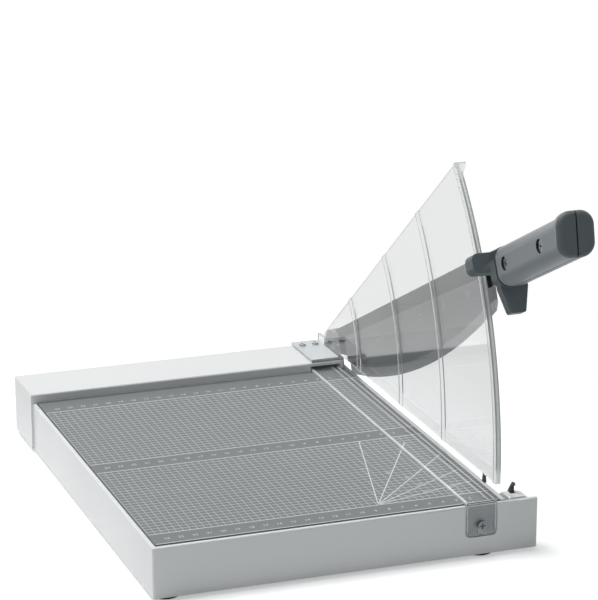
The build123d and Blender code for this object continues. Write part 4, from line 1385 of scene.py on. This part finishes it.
@dataclass
class ClearGuard:
    """The standing clear sheet and its seat."""

    shop: Workshop
    pivot: Pivot = Pivot()
    side_share: float = 0.9
    foot_front: float = 131.0 * MM
    foot_top: float = 51.0 * MM
    tab_from: float = 113.0 * MM
    low_line: float = -2.5 * MM
    hub: float = 9.0 * MM
    reach: float = 334.0 * MM
    top_reach: float = 327.0 * MM
    top_angle: float = math.radians(39.4)
    middle_angle: float = math.radians(15.76)
    rib_reaches: Triple = (70.0 * MM, 158.0 * MM, 240.0 * MM)
    rib_half: float = 3.25 * MM
    rim_width: float = 4.0 * MM
    # Bright beads that paint the highlights along the ribs and the rim.
    bead_x: float = 109.2 * MM
    bead_half: float = 1.0 * MM
    bead_flatness: float = 0.55
    bead_points: int = 72

    def build(self) -> None:
        """Build and dress the sheet, its beads of painted highlight, gasket, screws and rest."""
        sheet = self.shop.recast("clear", Body.BASE, "guard_sheet", "guard", turn=CLEAR_TURN)
        self._mark_edges(sheet)
        # Near-white beads as painted highlights on the sheet's ribs and rim.
        self.shop.fit("clear_painted_highlight", Body.BASE, "guard_painted_highlights", self._beads())
        self.shop.recast("gasket", Body.BASE, "guard_seat", "guard_gasket")
        self.shop.recast("capped_screw", Body.BASE, "guard_seat_screws", "guard_screws")
        self.shop.recast("dark", Body.BASE, "guard_front_rest", "guard_rest")

    def _mark_edges(self, sheet: Object) -> None:
        """Give the foot and the narrow sides of the sheet their denser look.

        Args:
            sheet: The sheet.
        """
        for finish in ("clear_edge", "clear_foot"):
            sheet.data.materials.append(self.shop.palette.made[finish])
        along = Vector((0.0, -math.cos(self.top_angle), math.sin(self.top_angle)))
        for face in sheet.data.polygons:
            on_foot = face.center.y > self.foot_front and face.center.z < self.foot_top
            if on_foot and face.normal.x < self.side_share:
                face.material_index = 2
            elif abs(face.normal.x) < self.side_share:
                faces_along = abs(face.normal.dot(along)) > self.side_share
                across_tab = face.center.x > self.tab_from and faces_along
                face.material_index = 0 if across_tab else 1

    def _beads(self) -> list[Mesh]:
        """Make the flat bright beads along the inner edges of the ribs and of the rim, as painted
        highlights of these edges.

        Returns:
            The meshes in their places.
        """
        turn = math.acos(self.hub / self.top_reach) + self.top_angle
        ways = [((0.0, 0.0), rib - self.rib_half, math.asin(self.low_line / rib),
                 turn - math.acos(self.hub / rib)) for rib in self.rib_reaches]
        low = (math.sqrt(self.reach ** 2 - self.low_line ** 2), self.low_line)
        middle, top = (
            (reach * math.cos(angle), reach * math.sin(angle))
            for angle, reach in ((self.middle_angle, self.reach), (self.top_angle, self.top_reach)))
        centre, radius = circle_through(low, middle, top)
        ends = [math.atan2(end[1] - centre[1], end[0] - centre[0]) for end in (low, top)]
        ways.append((centre, radius - self.rim_width, *ends))
        stand = Matrix(((0.0, 0.0, -1.0), (-1.0, 0.0, 0.0), (0.0, 1.0, 0.0))).to_4x4()
        flatten = Matrix.Diagonal((1.0, 1.0, self.bead_flatness, 1.0))
        meshes = []
        for (out, up), arc, first, last in ways:
            mesh = self.shop.maker.run(self.shop.maker.bead, {
                "Points": self.bead_points, "Arc radius": arc, "First angle": first,
                "Sweep": last - first, "Bead radius": self.bead_half,
                "Material": self.shop.palette.made["clear_painted_highlight"]})
            place = Matrix.Translation((self.bead_x, self.pivot.y - out, self.pivot.z + up))
            mesh.transform(place @ stand @ flatten)
            meshes.append(mesh)
        return meshes


@dataclass
class Clamp:
    """The clear strip that presses on the table beside the cut."""

    shop: Workshop
    side_share: float = 0.6
    # Places of the near-white lines that paint highlights along the strip, its tab and its bend.
    line_xs: Triple = (87.5 * MM, 103.6 * MM, 108.0 * MM)
    line_ys: Pair = (-178.0 * MM, 131.0 * MM)
    line_z: float = 41.31 * MM
    line_size: Pair = (0.5 * MM, 0.06 * MM)
    tab_xs: Pair = (87.3 * MM, 108.2 * MM)
    tab_y: float = -180.22 * MM
    tab_zs: Pair = (19.5 * MM, 39.5 * MM)
    bend_zs: Pair = (38.9 * MM, 40.4 * MM)

    def build(self) -> None:
        """Build and dress the strip, its near-white edge lines of painted highlight and its guides.
        """
        strip = self.shop.recast("clear_clamp", Body.CLAMP, "clamp_clear_strip", "clamp_strip",
                                 turn=CLEAR_TURN)
        for finish in ("clear_edge", "clear_film"):
            strip.data.materials.append(self.shop.palette.made[finish])
        for face in strip.data.polygons:
            if abs(face.normal.x) > self.side_share:
                face.material_index = 1
            elif abs(face.normal.z) > self.side_share:
                face.material_index = 2
        # Near-white lines as painted highlights on the strip's edges.
        self.shop.fit("clear_painted_highlight", Body.CLAMP, "clamp_painted_highlights", self._lines())
        self.shop.recast("dark_screw", Body.BASE, "clamp_tab_screw", "clamp_screw")
        self.shop.recast("screw", Body.BASE, "clamp_pins", "clamp_guide_pins")

    def _lines(self) -> list[Mesh]:
        """Make the painted highlights: bright lines along the strip, down its tab and across its
        bend.

        Returns:
            The meshes in their places.
        """
        width, height = self.line_size
        (y, length), (z, drop), (x, across) = (
            (sum(ends) / 2, ends[1] - ends[0]) for ends in (self.line_ys, self.tab_zs, self.tab_xs))
        lines = [((side, y, self.line_z), (width, length, height)) for side in self.line_xs]
        lines += [((side, self.tab_y, z), (width, height, drop)) for side in self.tab_xs]
        lines += [((x, self.tab_y, level), (across, height, width)) for level in self.bend_zs]
        highlight_white = self.shop.palette.made["clear_painted_highlight"]
        return [self.shop.maker.rule(highlight_white, place, size) for place, size in lines]


@dataclass
class ArmLatch:
    """The latch that holds the arm down, in its housing."""

    shop: Workshop

    def build(self) -> None:
        """Build and dress the latch and its housing."""
        self.shop.recast("shell", Body.BASE, "latch_seat", "latch_housing")
        self.shop.recast("screw", Body.BASE, "latch_seat_screws", "housing_screws")
        self.shop.recast("screw", Body.BASE, "latch_hinge_pin", "latch_pin")
        self.shop.recast("dark", Body.LATCH, "latch_fin", "arm_latch")


@dataclass
class LeverArm:
    """The arm with its blade and handle."""

    shop: Workshop
    pivot: Pivot = Pivot()
    edge: float = 0.35 * MM
    blade_edge: float = 0.1 * MM
    # Reaches and half sizes of the dark ring that paints the shade of the seam.
    seam: Pair = (362.15, 363.85)
    seam_half: Pair = (11.9, 13.4)
    seam_middle: float = -7.0
    seam_corner: float = 8.4
    seam_x: float = 120.6
    corner_steps: int = 6
    end_lean: float = math.radians(12.0)
    end_place: Pair = (472.7, -7.0)
    # How deep the grip's end is painted darker grey, as painted shade of the end.
    cap_length: float = 3.4 * MM
    # Screw wells whose inner walls are painted black, as painted shade in the wells.
    well_reaches: Pair = (377.4, 438.4)
    well_radius: float = 5.2 * MM
    well_share: float = 0.5

    def build(self) -> None:
        """Build and dress the bar, the blade and the handle."""
        self.shop.recast("coat", Body.ARM, "lever_bar", "arm_bar", edge=self.edge)
        self.shop.recast("blade", Body.ARM, "curved_blade", "upper_blade", edge=self.blade_edge)
        self.shop.recast("flush_screw", Body.ARM, "curved_blade_screws", "blade_screws")
        self.shop.recast("brass", Body.ARM, "arm_bush", "pivot_bush")
        self.shop.recast("hand_guard", Body.ARM, "finger_guard", "hand_guard")
        for name, node in (("grip_left_half", "handle_left"), ("grip_right_half", "handle_right")):
            self._dress_grip(name, node)
        # A black ring in the seam between the collar and the grip, as painted shade of the gap.
        self.shop.fit("rubber", Body.ARM, "grip_seam_painted_shade", [self._seam_ring()])
        self.shop.recast("screw", Body.ARM, "grip_screws", "handle_screws")
        self.shop.recast("screw", Body.ARM, "grip_nuts", "handle_nuts")
        self.shop.recast("rubber", Body.ARM, "stop_bumper", "arm_bumper")
        self.shop.recast("screw", Body.ARM, "latch_catch_pin", "catch_pin")

    def _seam_ring(self) -> Mesh:
        """Make the dark ring that fills the seam between the collar and the grip, as painted shade
        of the gap.

        Returns:
            The mesh in its place.
        """
        outline = []
        for quarter, side in enumerate(((1, 1), (-1, 1), (-1, -1), (1, -1))):
            for step in range(self.corner_steps + 1):
                angle = math.pi / 2 * (quarter + step / self.corner_steps)
                outline.append([
                    way * (half - self.seam_corner) + self.seam_corner * part for way, half, part
                    in zip(side, self.seam_half, (math.cos(angle), math.sin(angle)))])
        points = [((self.seam_x + across) * MM, *self.pivot.at(reach, self.seam_middle + height))
                  for reach in self.seam for across, height in outline]
        count = len(outline)
        sides = [(number, (number + 1) % count, (number + 1) % count + count, number + count)
                 for number in range(count)]
        ends = [tuple(reversed(range(count))), tuple(range(count, 2 * count))]
        mesh = bpy.data.meshes.new("seam ring")
        mesh.from_pydata(points, [], sides + ends)
        return mesh

    def _dress_grip(self, name: str, node: str) -> None:
        """Build a grip half with painted shade: a darker grey end face and black walls in the screw
        wells.

        Args:
            name: Name of the piece.
            node: Name of the node.
        """
        outward = Vector((0.0, -math.cos(self.end_lean), math.sin(self.end_lean)))
        end = Vector((self.seam_x * MM, *self.pivot.at(*self.end_place)))
        # Plane from which the end face is painted darker, as painted shade; the grip has no
        # separate cap.
        cap = end - outward * self.cap_length
        half = self.shop.recast("grip", Body.ARM, name, node, cut=(cap, outward))
        # The finger guard's grey paints the end's shade and black rubber paints the shade in the
        # wells.
        for finish in ("hand_guard", "rubber"):
            half.data.materials.append(self.shop.palette.made[finish])
        wells = [Vector(self.pivot.at(reach, self.seam_middle)) for reach in self.well_reaches]
        for face in half.data.polygons:
            near = min((face.center.yz - well).length for well in wells) < self.well_radius
            # Faces past the plane get the darker grey as painted shade of the end.
            if (face.center - cap).dot(outward) > 0.0:
                face.material_index = 1
            # The wells' walls get black rubber as painted shade.
            elif near and abs(face.normal.x) < self.well_share:
                face.material_index = 2


@dataclass
class Studio:
    """The floor, the soft light and the camera."""

    camera_place: Triple = (-0.6414, -1.8585, 0.7469)
    camera_look: Triple = (0.3243, 0.8996, -0.2927)
    camera_reach: float = 40.0
    lens: float = 170.57
    sensor: float = 36.0
    floor_half: float = 9.0
    floor_shade: Colour = (0.94, 0.94, 0.94, 1.0)
    floor_roughness: float = 0.95
    floor_lift: float = 0.42
    footprint: Pair = (0.145, 0.19)
    shadow_room: Pair = (0.01, 0.2)
    key_place: Triple = (-0.55, 0.45, 2.25)
    key_size: float = 1.5
    key_power: float = 49.0
    edge_place: Triple = (-0.8, 2.3, 1.2)
    edge_size: float = 0.3
    edge_power: float = 5.0
    sky: float = 0.15
    sky_shade: Colour = (0.9, 1.0, 1.03, 1.0)
    room_shade: Colour = (1.0, 1.0, 1.0, 1.0)

    def build(self) -> None:
        """Set up the stage."""
        bpy.context.scene.view_settings.view_transform = "Standard"
        self._floor()
        self._sky()
        self._lamp("key_lamp", self.key_place, self.key_size, self.key_power)
        self._lamp("edge_lamp", self.edge_place, self.edge_size, self.edge_power)
        self._camera()

    @staticmethod
    def _seen(wiring: Wiring) -> NodeSocket:
        """Return a mask of the rays that see the background.

        Args:
            wiring: The wiring of the floor or the world.

        Returns:
            The mask's socket.
        """
        path = wiring.add("ShaderNodeLightPath")
        mirrored = wiring.maths("MAXIMUM", path.outputs["Is Glossy Ray"],
                                path.outputs["Is Transmission Ray"])
        return wiring.maths("MAXIMUM", path.outputs["Is Camera Ray"], mirrored)

    def _floor(self) -> None:
        """Lay a pale floor that keeps the shadow round the machine."""
        half = self.floor_half
        corners = [(-half, -half, 0), (half, -half, 0), (half, half, 0), (-half, half, 0)]
        mesh = bpy.data.meshes.new("studio_floor")
        mesh.from_pydata(corners, [], [(0, 1, 2, 3)])
        floor = add_object("studio_floor", mesh)
        material, wiring, shader = start_material("floor_white")
        wiring.feed(shader.inputs["Base Color"], self.floor_shade)
        wiring.feed(shader.inputs["Roughness"], self.floor_roughness)
        wiring.feed(shader.inputs["Specular IOR Level"], 0.0)
        seen = self._seen(wiring)
        lift = wiring.add("ShaderNodeEmission")
        wiring.feed(lift.inputs["Strength"], wiring.maths("MULTIPLY", seen, self.floor_lift))
        lit = wiring.add("ShaderNodeAddShader")
        wiring.feed(lit.inputs[0], shader.outputs[0])
        wiring.feed(lit.inputs[1], lift.outputs[0])
        glow = wiring.add("ShaderNodeEmission")
        away = wiring.maths("MULTIPLY", self._away(wiring), seen)
        wiring.show(wiring.mix_shaders(away, lit.outputs[0], glow.outputs[0]))
        mesh.materials.append(material)

    def _away(self, wiring: Wiring) -> NodeSocket:
        """Return a mask that grows from 0 to 1 with the distance from the machine.

        Args:
            wiring: The wiring of the floor.

        Returns:
            The mask's socket.
        """
        split = wiring.add("ShaderNodeSeparateXYZ")
        wiring.feed(split.inputs[0], wiring.place())
        squares = []
        for part, half in zip(split.outputs, self.footprint):
            gap = wiring.maths("SUBTRACT", wiring.maths("ABSOLUTE", part), half)
            squares.append(wiring.maths("POWER", wiring.maths("MAXIMUM", 0.0, gap), 2.0))
        reach = wiring.maths("SQRT", wiring.maths("ADD", *squares))
        return wiring.spread(reach, 0.0, 1.0, *self.shadow_room)

    def _sky(self) -> None:
        """Light the room softly and show it white."""
        world = bpy.data.worlds.new("studio_room")
        bpy.context.scene.world = world
        world.use_nodes = True
        world.node_tree.nodes.clear()
        wiring = Wiring(world.node_tree)
        soft = wiring.add("ShaderNodeBackground")
        wiring.feed(soft.inputs["Strength"], self.sky)
        wiring.feed(soft.inputs["Color"], self.sky_shade)
        white = wiring.add("ShaderNodeBackground")
        wiring.feed(white.inputs["Color"], self.room_shade)
        mix = wiring.mix_shaders(self._seen(wiring), soft.outputs[0], white.outputs[0])
        output = wiring.add("ShaderNodeOutputWorld")
        wiring.feed(output.inputs["Surface"], mix)

    @staticmethod
    def _lamp(name: str, place: Triple, size: float, power: float) -> None:
        """Hang a soft square lamp that faces the machine.

        Args:
            name: Name of the lamp.
            place: Where it hangs, in metres.
            size: Its side, in metres.
            power: Its power, in watts.
        """
        lamp = bpy.data.lights.new(name, "AREA")
        lamp.shape = "SQUARE"
        lamp.size = size
        lamp.energy = power
        hanger = add_object(name, lamp)
        hanger.location = place
        hanger.rotation_euler = (-Vector(place)).to_track_quat("-Z", "Y").to_euler()

    def _camera(self) -> None:
        """Set the camera at the angle of the photograph."""
        data = bpy.data.cameras.new("front_camera")
        data.sensor_fit = "HORIZONTAL"
        data.sensor_width = self.sensor
        data.lens = self.lens
        data.clip_end = self.camera_reach
        camera = add_object("front_camera", data)
        camera.location = self.camera_place
        camera.rotation_euler = Vector(self.camera_look).to_track_quat("-Z", "Y").to_euler()
        bpy.context.scene.camera = camera


def main() -> None:
    """Build the machine's looks and the studio."""
    logging.basicConfig(level=logging.INFO, format="%(name)s: %(message)s")
    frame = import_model()
    palette = Palette(Effects())
    palette.fill()
    shop = Workshop(frame["nodes"], palette, LineMaker())
    for assembly in (Tray(shop), Mat(shop), Fence(shop), CutRail(shop), ClearGuard(shop),
                     Clamp(shop), ArmLatch(shop), LeverArm(shop)):
        LOG.info("building %s", type(assembly).__name__)
        assembly.build()
    Studio().build()


if __name__ == "__main__":
    main()
